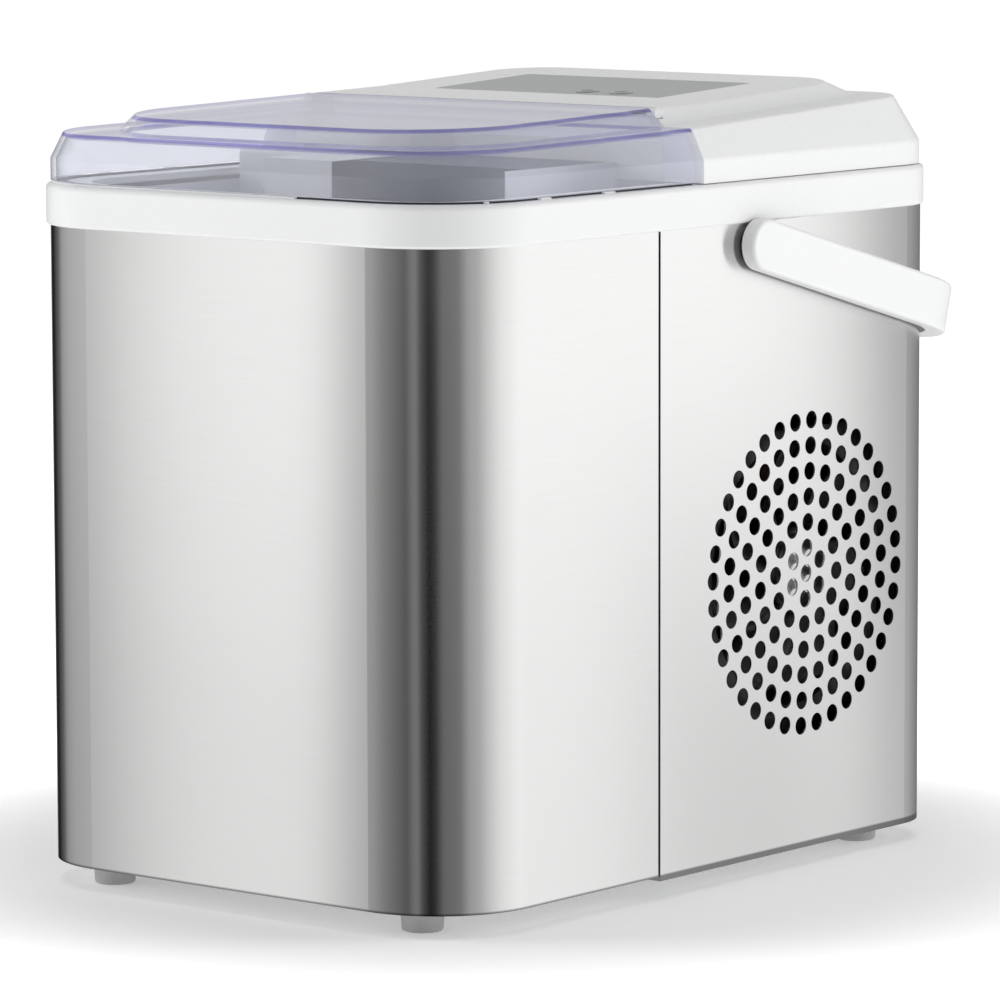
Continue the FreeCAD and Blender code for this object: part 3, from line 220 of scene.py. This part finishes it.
# ---------------------------------------------------------------- material helpers
class Shader:
    """A node material with one Principled shader, built up by short calls."""

    def __init__(self, name, color, roughness, metallic=0.0):
        self.material = bpy.data.materials.new(name)
        self.material.use_nodes = True
        self.nodes = self.material.node_tree.nodes
        self.links = self.material.node_tree.links
        self.bsdf = self.nodes["Principled BSDF"]
        self.bsdf.inputs["Base Color"].default_value = (*color, 1.0)
        self.bsdf.inputs["Roughness"].default_value = roughness
        self.bsdf.inputs["Metallic"].default_value = metallic
        self.place = self.add("ShaderNodeTexCoord").outputs["Object"]

    def add(self, kind, **settings):
        node = self.nodes.new(kind)
        for key, value in settings.items():
            setattr(node, key, value)
        return node

    def set(self, name, value):
        self.bsdf.inputs[name].default_value = value
        return self

    def stretched(self, scale):
        mapping = self.add("ShaderNodeMapping")
        mapping.inputs["Scale"].default_value = scale
        self.links.new(self.place, mapping.inputs["Vector"])
        return mapping.outputs["Vector"]

    def noise(self, scale, detail=2.0, stretch=(1.0, 1.0, 1.0)):
        texture = self.add("ShaderNodeTexNoise")
        texture.inputs["Scale"].default_value = scale
        texture.inputs["Detail"].default_value = detail
        self.links.new(self.stretched(stretch), texture.inputs["Vector"])
        return texture.outputs["Fac"]

    def spread(self, value, low, high):
        """Map a 0..1 texture value onto low..high."""
        span = self.add("ShaderNodeMapRange")
        span.inputs["To Min"].default_value = low
        span.inputs["To Max"].default_value = high
        self.links.new(value, span.inputs["Value"])
        return span.outputs["Result"]

    def color_between(self, value, first, second):
        mix = self.add("ShaderNodeMix", data_type="RGBA")
        self.links.new(value, mix.inputs["Factor"])
        mix.inputs[MIX_A].default_value = (*first, 1.0)
        mix.inputs[MIX_B].default_value = (*second, 1.0)
        self.links.new(mix.outputs[MIX_OUT], self.bsdf.inputs["Base Color"])
        return self

    def darken_below(self, height, fade, factor):
        """Multiply the colour made so far by factor below a height."""
        made_color = self.bsdf.inputs["Base Color"].links[0].from_socket
        split = self.add("ShaderNodeSeparateXYZ")
        self.links.new(self.place, split.inputs["Vector"])
        step = self.add("ShaderNodeMapRange")
        step.inputs["From Min"].default_value = height - fade
        step.inputs["From Max"].default_value = height
        step.inputs["To Min"].default_value = factor
        self.links.new(split.outputs["Z"], step.inputs["Value"])
        mix = self.add("ShaderNodeMix", data_type="RGBA", blend_type="MULTIPLY")
        mix.inputs["Factor"].default_value = 1.0
        self.links.new(made_color, mix.inputs[MIX_A])
        self.links.new(step.outputs["Result"], mix.inputs[MIX_B])
        self.links.new(mix.outputs[MIX_OUT], self.bsdf.inputs["Base Color"])
        return self

    def rough_between(self, value, low, high):
        self.links.new(self.spread(value, low, high), self.bsdf.inputs["Roughness"])
        return self

    def bump(self, value, strength, depth):
        node = self.add("ShaderNodeBump")
        node.inputs["Strength"].default_value = strength
        node.inputs["Distance"].default_value = depth
        self.links.new(value, node.inputs["Height"])
        self.links.new(node.outputs["Normal"], self.bsdf.inputs["Normal"])
        return self


def shade(color, factor):
    return tuple(min(1.0, channel * factor) for channel in color)


def moulded(name, color, roughness, grain=900.0, relief=0.02, coat=0.0):
    """Injection-moulded plastic: slight mottling, a fine texture and an uneven gloss."""
    made = Shader(name, color, roughness)
    broad = made.noise(14.0, 3.0)
    fine = made.noise(grain, 3.0)
    made.color_between(broad, shade(color, 0.97), shade(color, 1.02))
    made.rough_between(fine, roughness * 0.93, roughness * 1.08)
    made.bump(fine, relief, 0.00005)
    made.set("Coat Weight", coat)
    made.set("Coat Roughness", 0.12)
    return made.material


def brushed_steel():
    """Steel sheet with fine level brushing, so its reflections spread up and down, with painted
    shade darkening its lower edge.
    """
    color = STEEL_COLOR
    made = Shader("brushed_steel_sheet", color, 0.2, 1.0)
    lines = made.noise(60.0, 6.0, (1.0, 1.0, BRUSH_STRETCH))
    clouds = made.noise(9.0, 2.0, (1.0, 1.0, 2.5))
    made.color_between(lines, shade(color, 0.965), shade(color, 1.035))
    # painted shade: the colour is darkened along the lowest millimetre of the steel, in place of the
    # dark reflection a folded edge would give
    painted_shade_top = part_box("front_shell")[0][2] + PAINTED_SHADE_HEIGHT
    made.darken_below(painted_shade_top, PAINTED_SHADE_HEIGHT * PAINTED_SHADE_FADE, PAINTED_SHADE_FACTOR)
    made.rough_between(clouds, *STEEL_ROUGH)
    made.bump(lines, 0.05, 0.00002)
    made.set("Anisotropic", 1.0)
    made.set("Anisotropic Rotation", 0.25)
    around = made.add("ShaderNodeTangent", direction_type="RADIAL", axis="Z")
    made.links.new(around.outputs["Tangent"], made.bsdf.inputs["Tangent"])
    return made.material


def worked_metal(name, color, roughness):
    """Bare metal with fine wear, in patches of uneven gloss."""
    made = Shader(name, color, roughness, 1.0)
    wear = made.noise(400.0, 4.0)
    made.color_between(wear, shade(color, 0.9), shade(color, 1.06))
    made.rough_between(made.noise(60.0, 2.0), roughness * 0.8, roughness * 1.3)
    made.bump(wear, 0.08, 0.00003)
    return made.material


def soft_rubber(name, color, roughness):
    """Matt rubber or silicone with a fine grain."""
    made = Shader(name, color, roughness)
    fine = made.noise(700.0, 4.0)
    made.color_between(made.noise(40.0), shade(color, 0.9), shade(color, 1.08))
    made.rough_between(fine, roughness * 0.9, min(1.0, roughness * 1.15))
    made.bump(fine, 0.3, 0.00006)
    made.set("Sheen Weight", 0.15)
    return made.material


def edge_line(made, front_z, rise):
    """1 just below an edge that starts at front_z and climbs by rise towards the rear, else 0."""
    split = made.add("ShaderNodeSeparateXYZ")
    made.links.new(made.place, split.inputs["Vector"])
    climb = made.add("ShaderNodeMath", operation="MULTIPLY_ADD")
    climb.inputs[1].default_value = -rise
    climb.inputs[2].default_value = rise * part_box("lid")[0][1] - front_z
    made.links.new(split.outputs["Y"], climb.inputs[0])
    height = made.add("ShaderNodeMath", operation="ADD")
    made.links.new(split.outputs["Z"], height.inputs[0])
    made.links.new(climb.outputs["Value"], height.inputs[1])
    ramp = made.add("ShaderNodeMapRange")
    ramp.inputs["From Min"].default_value = -EDGE_GLOW
    ramp.inputs["From Max"].default_value = 0.0
    made.links.new(height.outputs["Value"], ramp.inputs["Value"])
    line = made.add("ShaderNodeValToRGB")
    elements = line.color_ramp.elements
    elements[0].position = 0.0
    elements[0].color = (0.0, 0.0, 0.0, 1.0)
    elements[1].position = EDGE_END
    elements[1].color = (0.0, 0.0, 0.0, 1.0)
    for position in EDGE_FULL:
        elements.new(position).color = (1.0, 1.0, 1.0, 1.0)
    made.links.new(ramp.outputs["Result"], line.inputs["Fac"])
    return line.outputs["Color"]


def clear_tinted(name):
    """Clear plastic with a faint blue-violet body tint that gathers along its edges."""
    made = Shader(name, LID_CLEAR, LID_GLOSS_ROUGH)
    made.nodes.remove(made.bsdf)
    out = made.nodes["Material Output"]
    ripple = made.add("ShaderNodeBump")
    ripple.inputs["Strength"].default_value = 0.12
    ripple.inputs["Distance"].default_value = 0.0004
    made.links.new(made.noise(22.0), ripple.inputs["Height"])
    facing = made.add("ShaderNodeLayerWeight")
    facing.inputs["Blend"].default_value = 0.5

    through = made.add("ShaderNodeBsdfTransparent")
    tint = made.add("ShaderNodeValToRGB")
    tint.color_ramp.elements[0].position = LID_TINT_START
    tint.color_ramp.elements[0].color = (*LID_CLEAR, 1.0)
    tint.color_ramp.elements[1].position = 1.0
    tint.color_ramp.elements[1].color = (*LID_EDGE, 1.0)
    made.links.new(facing.outputs["Facing"], tint.inputs["Fac"])
    ledge = edge_line(made, LID_LEDGE_Z, LID_LEDGE_RISE)
    plateau = edge_line(made, LID_PLATEAU_Z, LID_PLATEAU_RISE)
    lines = made.add("ShaderNodeMath", operation="MAXIMUM")
    made.links.new(ledge, lines.inputs[0])
    made.links.new(plateau, lines.inputs[1])
    lined = made.add("ShaderNodeMix", data_type="RGBA")
    made.links.new(lines.outputs["Value"], lined.inputs["Factor"])
    made.links.new(tint.outputs["Color"], lined.inputs[MIX_A])
    lined.inputs[MIX_B].default_value = (*LID_EDGE, 1.0)
    made.links.new(lined.outputs[MIX_OUT], through.inputs["Color"])

    haze = made.add("ShaderNodeBsdfDiffuse")
    haze.inputs["Color"].default_value = (*LID_HAZE, 1.0)
    hazed = made.add("ShaderNodeMixShader")
    hazed.inputs["Fac"].default_value = LID_HAZE_SHARE
    made.links.new(through.outputs[0], hazed.inputs[1])
    made.links.new(haze.outputs[0], hazed.inputs[2])

    gloss = made.add("ShaderNodeBsdfGlossy")
    gloss.inputs["Roughness"].default_value = LID_GLOSS_ROUGH
    gloss.inputs["Color"].default_value = (0.97, 0.97, 1.0, 1.0)
    made.links.new(ripple.outputs["Normal"], gloss.inputs["Normal"])
    sharp = made.add("ShaderNodeMath", operation="POWER")
    sharp.inputs[1].default_value = LID_GLOSS_POWER
    made.links.new(facing.outputs["Facing"], sharp.inputs[0])
    mirrored = made.spread(sharp.outputs["Value"], LID_GLOSS_LEAST, 1.0)
    both = made.add("ShaderNodeMixShader")
    made.links.new(mirrored, both.inputs["Fac"])
    made.links.new(hazed.outputs[0], both.inputs[1])
    made.links.new(gloss.outputs[0], both.inputs[2])
    made.links.new(both.outputs[0], out.inputs["Surface"])
    return made.material


def circuit_board(name):
    """Green lacquer with paler copper tracks."""
    made = Shader(name, (0.03, 0.19, 0.09), 0.35)
    cells = made.add("ShaderNodeTexVoronoi", feature="DISTANCE_TO_EDGE", distance="CHEBYCHEV")
    cells.inputs["Scale"].default_value = 260.0
    made.links.new(made.place, cells.inputs["Vector"])
    step = made.add("ShaderNodeMath", operation="GREATER_THAN")
    step.inputs[1].default_value = 0.12
    made.links.new(cells.outputs["Distance"], step.inputs[0])
    made.color_between(step.outputs[0], (0.12, 0.36, 0.16), (0.02, 0.17, 0.08))
    made.bump(cells.outputs["Distance"], 0.1, 0.00005)
    return made.material


def foam_board(name):
    """Beaded white foam."""
    made = Shader(name, (0.9, 0.9, 0.87), 0.8)
    cells = made.add("ShaderNodeTexVoronoi")
    cells.inputs["Scale"].default_value = 320.0
    made.links.new(made.place, cells.inputs["Vector"])
    made.color_between(cells.outputs["Distance"], (0.93, 0.93, 0.9), (0.82, 0.82, 0.79))
    made.bump(cells.outputs["Distance"], 0.5, 0.0004)
    return made.material


# ---------------------------------------------------------------- materials on the CAD nodes
def materials_by_slot():
    """One material for each slot that the record names."""
    return {
        "steel_wrap": brushed_steel(),
        "white_plastic": moulded("white_cover_plastic", (0.86, 0.865, 0.87), 0.28),
        "handle_white": moulded("white_handle_plastic", (0.87, 0.875, 0.88), 0.3),
        "clear_lid": clear_tinted("clear_lid_plastic"),
        "panel_grey": moulded("panel_film", (0.36, 0.37, 0.375), 0.36, grain=1600.0, relief=0.1),
        "button_dark": moulded("button_caps", (0.06, 0.065, 0.085), 0.3),
        "base_white": moulded("base_plastic", (0.78, 0.785, 0.79), 0.45),
        "foot_grey": soft_rubber("foot_pads", (0.5, 0.5, 0.5), 0.6),
        # painted shade: the seal under the lid's edge is near-black so that it shows as the dark
        # line of shade in the gap there
        "gasket_dark": soft_rubber("lid_seal_painted_shade", (0.02, 0.022, 0.025), 0.6),
        "liner_grey": moulded("liner_plastic", (0.78, 0.81, 0.86), 0.35),
        "basket_grey": moulded("basket_plastic", (0.5, 0.57, 0.68), 0.35),
        "frame_dark": moulded("evaporator_frame_plastic", (0.035, 0.045, 0.075), 0.4),
        "plated_metal": worked_metal("plated_fingers", (0.72, 0.73, 0.74), 0.18),
        "steel_pin": worked_metal("plain_steel", (0.6, 0.6, 0.61), 0.3),
        "zinc_screw": worked_metal("zinc_screws", (0.66, 0.68, 0.7), 0.25),
        "foam_white": foam_board("foam_board"),
        "black_plastic": moulded("black_plastic", (0.016, 0.016, 0.018), 0.4),
        "compressor_black": moulded("black_enamel", (0.012, 0.012, 0.013), 0.22, coat=0.5),
        "rubber_black": soft_rubber("black_rubber", (0.018, 0.018, 0.018), 0.7),
        "fin_aluminium": worked_metal("fin_aluminium", (0.77, 0.78, 0.79), 0.35),
        "copper": worked_metal("copper_tube", (0.78, 0.4, 0.24), 0.28),
        "board_green": circuit_board("circuit_board"),
        "silicone": soft_rubber("silicone_hose", (0.75, 0.77, 0.78), 0.45),
    }


def dress_nodes():
    """Give every CAD node the material of its slot."""
    made = materials_by_slot()
    for entry in frame["record"]["subparts"]:
        mesh = NODES[entry["node"]].data
        mesh.materials.clear()
        mesh.materials.append(made[entry["material_slot"]])
    return made


# ---------------------------------------------------------------- detail pieces
def lathe_x(name, profile, centre, sides, material):
    """A body of revolution about the X direction, from (x, radius) points, closed at its ends."""
    points = []
    for x, radius in profile:
        for i in range(sides):
            turn = 2.0 * math.pi * i / sides
            y = centre[1] + radius * math.cos(turn)
            points.append((x, y, centre[2] + radius * math.sin(turn)))
    faces = [tuple(range(sides)), tuple(reversed(range(len(points) - sides, len(points))))]
    for ring in range(len(profile) - 1):
        a = ring * sides
        for i in range(sides):
            k = (i + 1) % sides
            faces.append((a + k, a + i, a + sides + i, a + sides + k))
    made = mesh_object(name, points, faces, material)
    for polygon in made.data.polygons[2:]:
        polygon.use_smooth = True
    return made


def fan_wheel(material, cap_material):
    """Fan wheel with curved, twisted blades and a plain grey disc on its hub."""
    low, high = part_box("fan_impeller")
    centre = [(a + b) / 2.0 for a, b in zip(low, high)]
    tip = min(high[1] - low[1], high[2] - low[2]) / 2.0
    front = high[0]
    fan_depth = high[0] - low[0]
    root = FAN_HUB_R * BLADE_ROOT
    points = []
    faces = []
    for blade in range(FAN_BLADES):
        start = len(points)
        turn = 2.0 * math.pi * blade / FAN_BLADES
        for i in range(BLADE_ROWS):
            out = i / (BLADE_ROWS - 1)
            radius = root + out * (tip - root)
            sweep = BLADE_SWEEP * out * out
            span = BLADE_SPAN - BLADE_SPAN_LOSS * out
            depth = fan_depth * (BLADE_DEPTH - BLADE_DEPTH_LOSS * out)
            for j in range(BLADE_COLUMNS):
                along = j / (BLADE_COLUMNS - 1) - 0.5
                angle = turn + sweep + span * along
                bulge = BLADE_BULGE * math.cos(math.pi * along)
                x = centre[0] + depth * along * BLADE_PITCH + bulge
                y = centre[1] + radius * math.cos(angle)
                points.append((x, y, centre[2] + radius * math.sin(angle)))
        for i in range(BLADE_ROWS - 1):
            for j in range(BLADE_COLUMNS - 1):
                a = start + i * BLADE_COLUMNS + j
                faces.append((a, a + 1, a + BLADE_COLUMNS + 1, a + BLADE_COLUMNS))
    blades = mesh_object("fan_blades", points, faces, material)
    for polygon in blades.data.polygons:
        polygon.use_smooth = True
    thick = blades.modifiers.new("thickness", "SOLIDIFY")
    thick.thickness = BLADE_SHEET
    thick.offset = 0.0
    cup = [(front - behind, FAN_HUB_R - inside) for behind, inside in HUB_PROFILE]
    disc = [(front - behind, FAN_HUB_R - inside) for behind, inside in DISC_PROFILE]
    body = lathe_x("fan_hub", cup, centre, HUB_SIDES, material)
    cap = lathe_x("fan_hub_disc", disc, centre, HUB_SIDES, cap_material)
    for piece, slot in ((blades, "black_plastic"), (body, "black_plastic"), (cap, "plated_metal")):
        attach(piece, "fan")
        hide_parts("fan_impeller")


def prism_x(name, left, right, outline, material):
    """Piece on the housing with one outline in y and z, from left to right."""
    points = [(x, y, z) for x in (left, right) for y, z in outline]
    n = len(outline)
    faces = [tuple(range(n)), tuple(reversed(range(n, 2 * n)))]
    faces += [((i + 1) % n, i, n + i, n + (i + 1) % n) for i in range(n)]
    piece = mesh_object(name, points, faces, material)
    edge = piece.modifiers.new("edges", "BEVEL")
    edge.width = HOOD_BEVEL
    edge.segments = 2
    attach(piece, "housing")


def frame_covers(hood_material, end_material):
    """White hood at the left of the evaporator's frame, light cover plate on its right end."""
    low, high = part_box("evaporator_frame")
    front = low[1] - HOOD_SHEET
    top = high[2] + HOOD_SHEET
    hood = (
        (low[1] - HOOD_GAP, top - HOOD_DEPTH),
        (front, top - HOOD_DEPTH),
        (front, top),
        (front + HOOD_LENGTH, top),
        (front + HOOD_LENGTH, high[2] + HOOD_GAP),
        (low[1] - HOOD_GAP, high[2] + HOOD_GAP),
    )
    left = low[0] + HOOD_INSET
    prism_x("motor_hood", left, low[0] + HOOD_WIDTH, hood, hood_material)
    plate = (
        (high[1], high[2] - HOOD_DEPTH),
        (low[1], high[2] - HOOD_DEPTH),
        (low[1], high[2]),
        (high[1], high[2]),
    )
    right = high[0] + HOOD_GAP
    prism_x("frame_end_plate", right, right + HOOD_SHEET, plate, end_material)


def ringed_cap(name, node):
    """Dark push button with a paler ring near its edge."""
    low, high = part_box(node)
    centre = [(a + b) / 2.0 for a, b in zip(low, high)]
    radius = (high[0] - low[0]) / 2.0
    made = Shader(name, BUTTON_DARK, 0.3)
    away = made.add("ShaderNodeVectorMath", operation="SUBTRACT")
    away.inputs[1].default_value = centre
    made.links.new(made.place, away.inputs[0])
    flat = made.add("ShaderNodeVectorMath", operation="MULTIPLY")
    flat.inputs[1].default_value = (1.0 / radius, 1.0 / radius, 0.0)
    made.links.new(away.outputs["Vector"], flat.inputs[0])
    reach = made.add("ShaderNodeVectorMath", operation="LENGTH")
    made.links.new(flat.outputs["Vector"], reach.inputs[0])
    ring = made.add("ShaderNodeMapRange", interpolation_type="SMOOTHSTEP")
    ring.inputs["From Min"].default_value = RING_START
    ring.inputs["From Max"].default_value = RING_FULL
    made.links.new(reach.outputs["Value"], ring.inputs["Value"])
    made.color_between(ring.outputs["Result"], BUTTON_DARK, BUTTON_RING)
    made.rough_between(made.noise(900.0), 0.25, 0.36)
    return made.material


# ---------------------------------------------------------------- studio
def add_camera():
    data = bpy.data.cameras.new("camera")
    data.lens = LENS_MM
    data.sensor_width = SENSOR_MM
    data.clip_end = CAMERA_REACH
    camera = bpy.data.objects.new("camera", data)
    camera.location = CAMERA_AT
    camera.rotation_euler = [math.radians(turn) for turn in CAMERA_TURN]
    bpy.context.scene.collection.objects.link(camera)
    bpy.context.scene.camera = camera


def mesh_object(name, points, faces, material):
    """A new object in the scene, with one material."""
    mesh = bpy.data.meshes.new(name)
    mesh.from_pydata(points, [], faces)
    mesh.update()
    obj = bpy.data.objects.new(name, mesh)
    bpy.context.scene.collection.objects.link(obj)
    mesh.materials.append(material)
    return obj


def disc_points(radius, height, sides):
    """Points round the vertical axis through the middle."""
    turns = [2.0 * math.pi * i / sides for i in range(sides)]
    return [(radius * math.cos(turn), radius * math.sin(turn), height) for turn in turns]


def add_floor():
    """Pale floor that glows a little, more with distance, so that it has no horizon."""
    made = Shader("studio_floor", (0.93, 0.93, 0.93), 0.7)
    made.color_between(made.noise(2.0, 2.0), (0.925, 0.925, 0.925), (0.935, 0.935, 0.935))
    reach = made.add("ShaderNodeVectorMath", operation="LENGTH")
    made.links.new(made.place, reach.inputs[0])
    glow = made.add("ShaderNodeMapRange", interpolation_type="SMOOTHSTEP")
    glow.inputs["From Min"].default_value = FLOOR_NEAR
    glow.inputs["From Max"].default_value = FLOOR_FAR
    glow.inputs["To Min"].default_value = FLOOR_GLOW_NEAR
    glow.inputs["To Max"].default_value = FLOOR_GLOW_FAR
    made.links.new(reach.outputs["Value"], glow.inputs["Value"])
    made.set("Emission Color", (1.0, 1.0, 1.0, 1.0))
    made.links.new(glow.outputs["Result"], made.bsdf.inputs["Emission Strength"])
    points = disc_points(FLOOR_RADIUS, 0.0, FLOOR_SIDES)
    floor = mesh_object("studio_floor", points, [tuple(range(FLOOR_SIDES))], made.material)
    floor.visible_glossy = False


def hide_but_for(obj, kept):
    """Leave an object visible to one kind of ray only."""
    for kind in ("camera", "diffuse", "glossy", "transmission", "volume_scatter", "shadow"):
        setattr(obj, "visible_" + kind, kind == kept)


def light_of(tone):
    """Linear light of a screen tone from 0 to 255, by the sRGB curve."""
    return ((tone / 255.0 + 0.055) / 1.055) ** 2.4


def full_turn_share(direction):
    """Where a compass direction lies on the radial gradient, which runs from 0 to 1 once round."""
    return direction / 360.0 + 0.5


def compass_ramp(tree, turn, stops, span):
    """Colour by compass direction, from (direction, level) stops inside one span."""
    low, high = span
    window = tree.nodes.new("ShaderNodeMapRange")
    window.inputs["From Min"].default_value = full_turn_share(low)
    window.inputs["From Max"].default_value = full_turn_share(high)
    tree.links.new(turn, window.inputs["Value"])
    ramp = tree.nodes.new("ShaderNodeValToRGB")
    tree.links.new(window.outputs["Result"], ramp.inputs["Fac"])
    elements = ramp.color_ramp.elements
    while len(elements) > 1:
        elements.remove(elements[-1])
    for index, (azimuth, level) in enumerate(stops):
        position = (azimuth - low) / (high - low)
        element = elements[0] if index == 0 else elements.new(position)
        element.position = position
        element.color = (level, level, level, 1.0)
    return ramp.outputs["Color"]


def levels(bands):
    """The light that each band gives off, so that the steel shows the tone asked for."""
    return [(azimuth, light_of(tone) / STEEL_COLOR[0]) for azimuth, tone in bands]


def between(tree, turn, span):
    """1 where the direction lies inside the span, else 0."""
    result = None
    for edge, operation in zip(span, ("GREATER_THAN", "LESS_THAN")):
        test = tree.nodes.new("ShaderNodeMath")
        test.operation = operation
        test.inputs[1].default_value = full_turn_share(edge)
        tree.links.new(turn, test.inputs[0])
        if result is None:
            result = test.outputs["Value"]
            continue
        both = tree.nodes.new("ShaderNodeMath")
        both.operation = "MULTIPLY"
        tree.links.new(result, both.inputs[0])
        tree.links.new(test.outputs["Value"], both.inputs[1])
        result = both.outputs["Value"]
    return result


def reflector_material():
    """Bright and dark bands round the object, fading downwards, under a plain bright part."""
    material = bpy.data.materials.new("reflector_bands")
    material.use_nodes = True
    tree = material.node_tree
    nodes = tree.nodes
    links = tree.links
    nodes.clear()
    out = nodes.new("ShaderNodeOutputMaterial")
    glow = nodes.new("ShaderNodeEmission")
    turn = nodes.new("ShaderNodeTexGradient")
    turn.gradient_type = "RADIAL"
    place = nodes.new("ShaderNodeTexCoord")
    links.new(place.outputs["Object"], turn.inputs["Vector"])
    around = turn.outputs["Fac"]
    bands = nodes.new("ShaderNodeMix")
    bands.data_type = "RGBA"
    links.new(between(tree, around, FRONT_SPAN), bands.inputs["Factor"])
    other = compass_ramp(tree, around, levels(OTHER_BANDS), FULL_SPAN)
    facing = compass_ramp(tree, around, levels(FRONT_BANDS), FRONT_SPAN)
    links.new(other, bands.inputs[MIX_A])
    links.new(facing, bands.inputs[MIX_B])
    fall = compass_ramp(tree, around, BANDS_FALL, FULL_SPAN)

    split = nodes.new("ShaderNodeSeparateXYZ")
    links.new(place.outputs["Object"], split.inputs["Vector"])
    rise = nodes.new("ShaderNodeMapRange")
    rise.interpolation_type = "SMOOTHSTEP"
    rise.inputs["From Min"].default_value = BANDS_LOW
    rise.inputs["From Max"].default_value = BANDS_FULL
    links.new(split.outputs["Z"], rise.inputs["Value"])
    links.new(fall, rise.inputs["To Min"])
    dimmed = nodes.new("ShaderNodeMix")
    dimmed.data_type = "RGBA"
    dimmed.blend_type = "MULTIPLY"
    dimmed.inputs["Factor"].default_value = 1.0
    links.new(bands.outputs[MIX_OUT], dimmed.inputs[MIX_A])
    links.new(rise.outputs["Result"], dimmed.inputs[MIX_B])

    top = nodes.new("ShaderNodeMapRange")
    top.interpolation_type = "SMOOTHSTEP"
    top.inputs["From Min"].default_value = BANDS_END
    top.inputs["From Max"].default_value = PLAIN_START
    links.new(split.outputs["Z"], top.inputs["Value"])
    mixed = nodes.new("ShaderNodeMix")
    mixed.data_type = "RGBA"
    links.new(top.outputs["Result"], mixed.inputs["Factor"])
    links.new(dimmed.outputs[MIX_OUT], mixed.inputs[MIX_A])
    plain = light_of(PLAIN_TONE)
    mixed.inputs[MIX_B].default_value = (plain, plain, plain, 1.0)
    links.new(mixed.outputs[MIX_OUT], glow.inputs["Color"])
    links.new(glow.outputs["Emission"], out.inputs["Surface"])
    return material


def add_reflector():
    """Wall of light close round the object that only reflections see."""
    n = REFLECTOR_SIDES
    points = disc_points(REFLECTOR_RADIUS, REFLECTOR_LOW, n)
    points += disc_points(REFLECTOR_RADIUS, REFLECTOR_HIGH, n)
    faces = [(i, (i + 1) % n, n + (i + 1) % n, n + i) for i in range(n)]
    wall = mesh_object("reflector", points, faces, reflector_material())
    hide_but_for(wall, "glossy")


def add_light(name, place, target, size, power):
    """Area light that reflections don't see; the reflector stands in for it there."""
    data = bpy.data.lights.new(name, "AREA")
    data.shape = "RECTANGLE"
    data.size, data.size_y = size
    data.energy = power
    light = bpy.data.objects.new(name, data)
    light.location = place
    aim = Vector(target) - Vector(place)
    light.rotation_euler = aim.to_track_quat("-Z", "Y").to_euler()
    light.visible_glossy = False
    bpy.context.scene.collection.objects.link(light)


def add_world():
    """Even studio light that shows as plain white behind the object."""
    world = bpy.data.worlds.new("studio")
    bpy.context.scene.world = world
    world.use_nodes = True
    tree = world.node_tree
    tree.nodes.clear()
    light = tree.nodes.new("ShaderNodeBackground")
    light.inputs["Strength"].default_value = WORLD_LIGHT
    white = tree.nodes.new("ShaderNodeBackground")
    seen = tree.nodes.new("ShaderNodeLightPath")
    either = tree.nodes.new("ShaderNodeMixShader")
    out = tree.nodes.new("ShaderNodeOutputWorld")
    for background in (light, white):
        background.inputs["Color"].default_value = (1.0, 1.0, 1.0, 1.0)
    tree.links.new(seen.outputs["Is Camera Ray"], either.inputs["Fac"])
    tree.links.new(light.outputs[0], either.inputs[1])
    tree.links.new(white.outputs[0], either.inputs[2])
    tree.links.new(either.outputs[0], out.inputs["Surface"])


def add_lights():
    for name, place, size, power in SOFTBOXES:
        add_light(name, place, LIGHTS_AIM, size, power)


def main():
    add_camera()
    bpy.context.scene.view_settings.view_transform = "Standard"
    add_world()
    add_floor()
    add_reflector()
    add_lights()
    made = dress_nodes()
    for node in ("select_button", "power_button"):
        NODES[node].data.materials[0] = ringed_cap(node + "_cap", node)
    NODES["lid"].visible_shadow = False
    fan_wheel(made["black_plastic"], made["plated_metal"])
    frame_covers(made["base_white"], made["liner_grey"])


main()
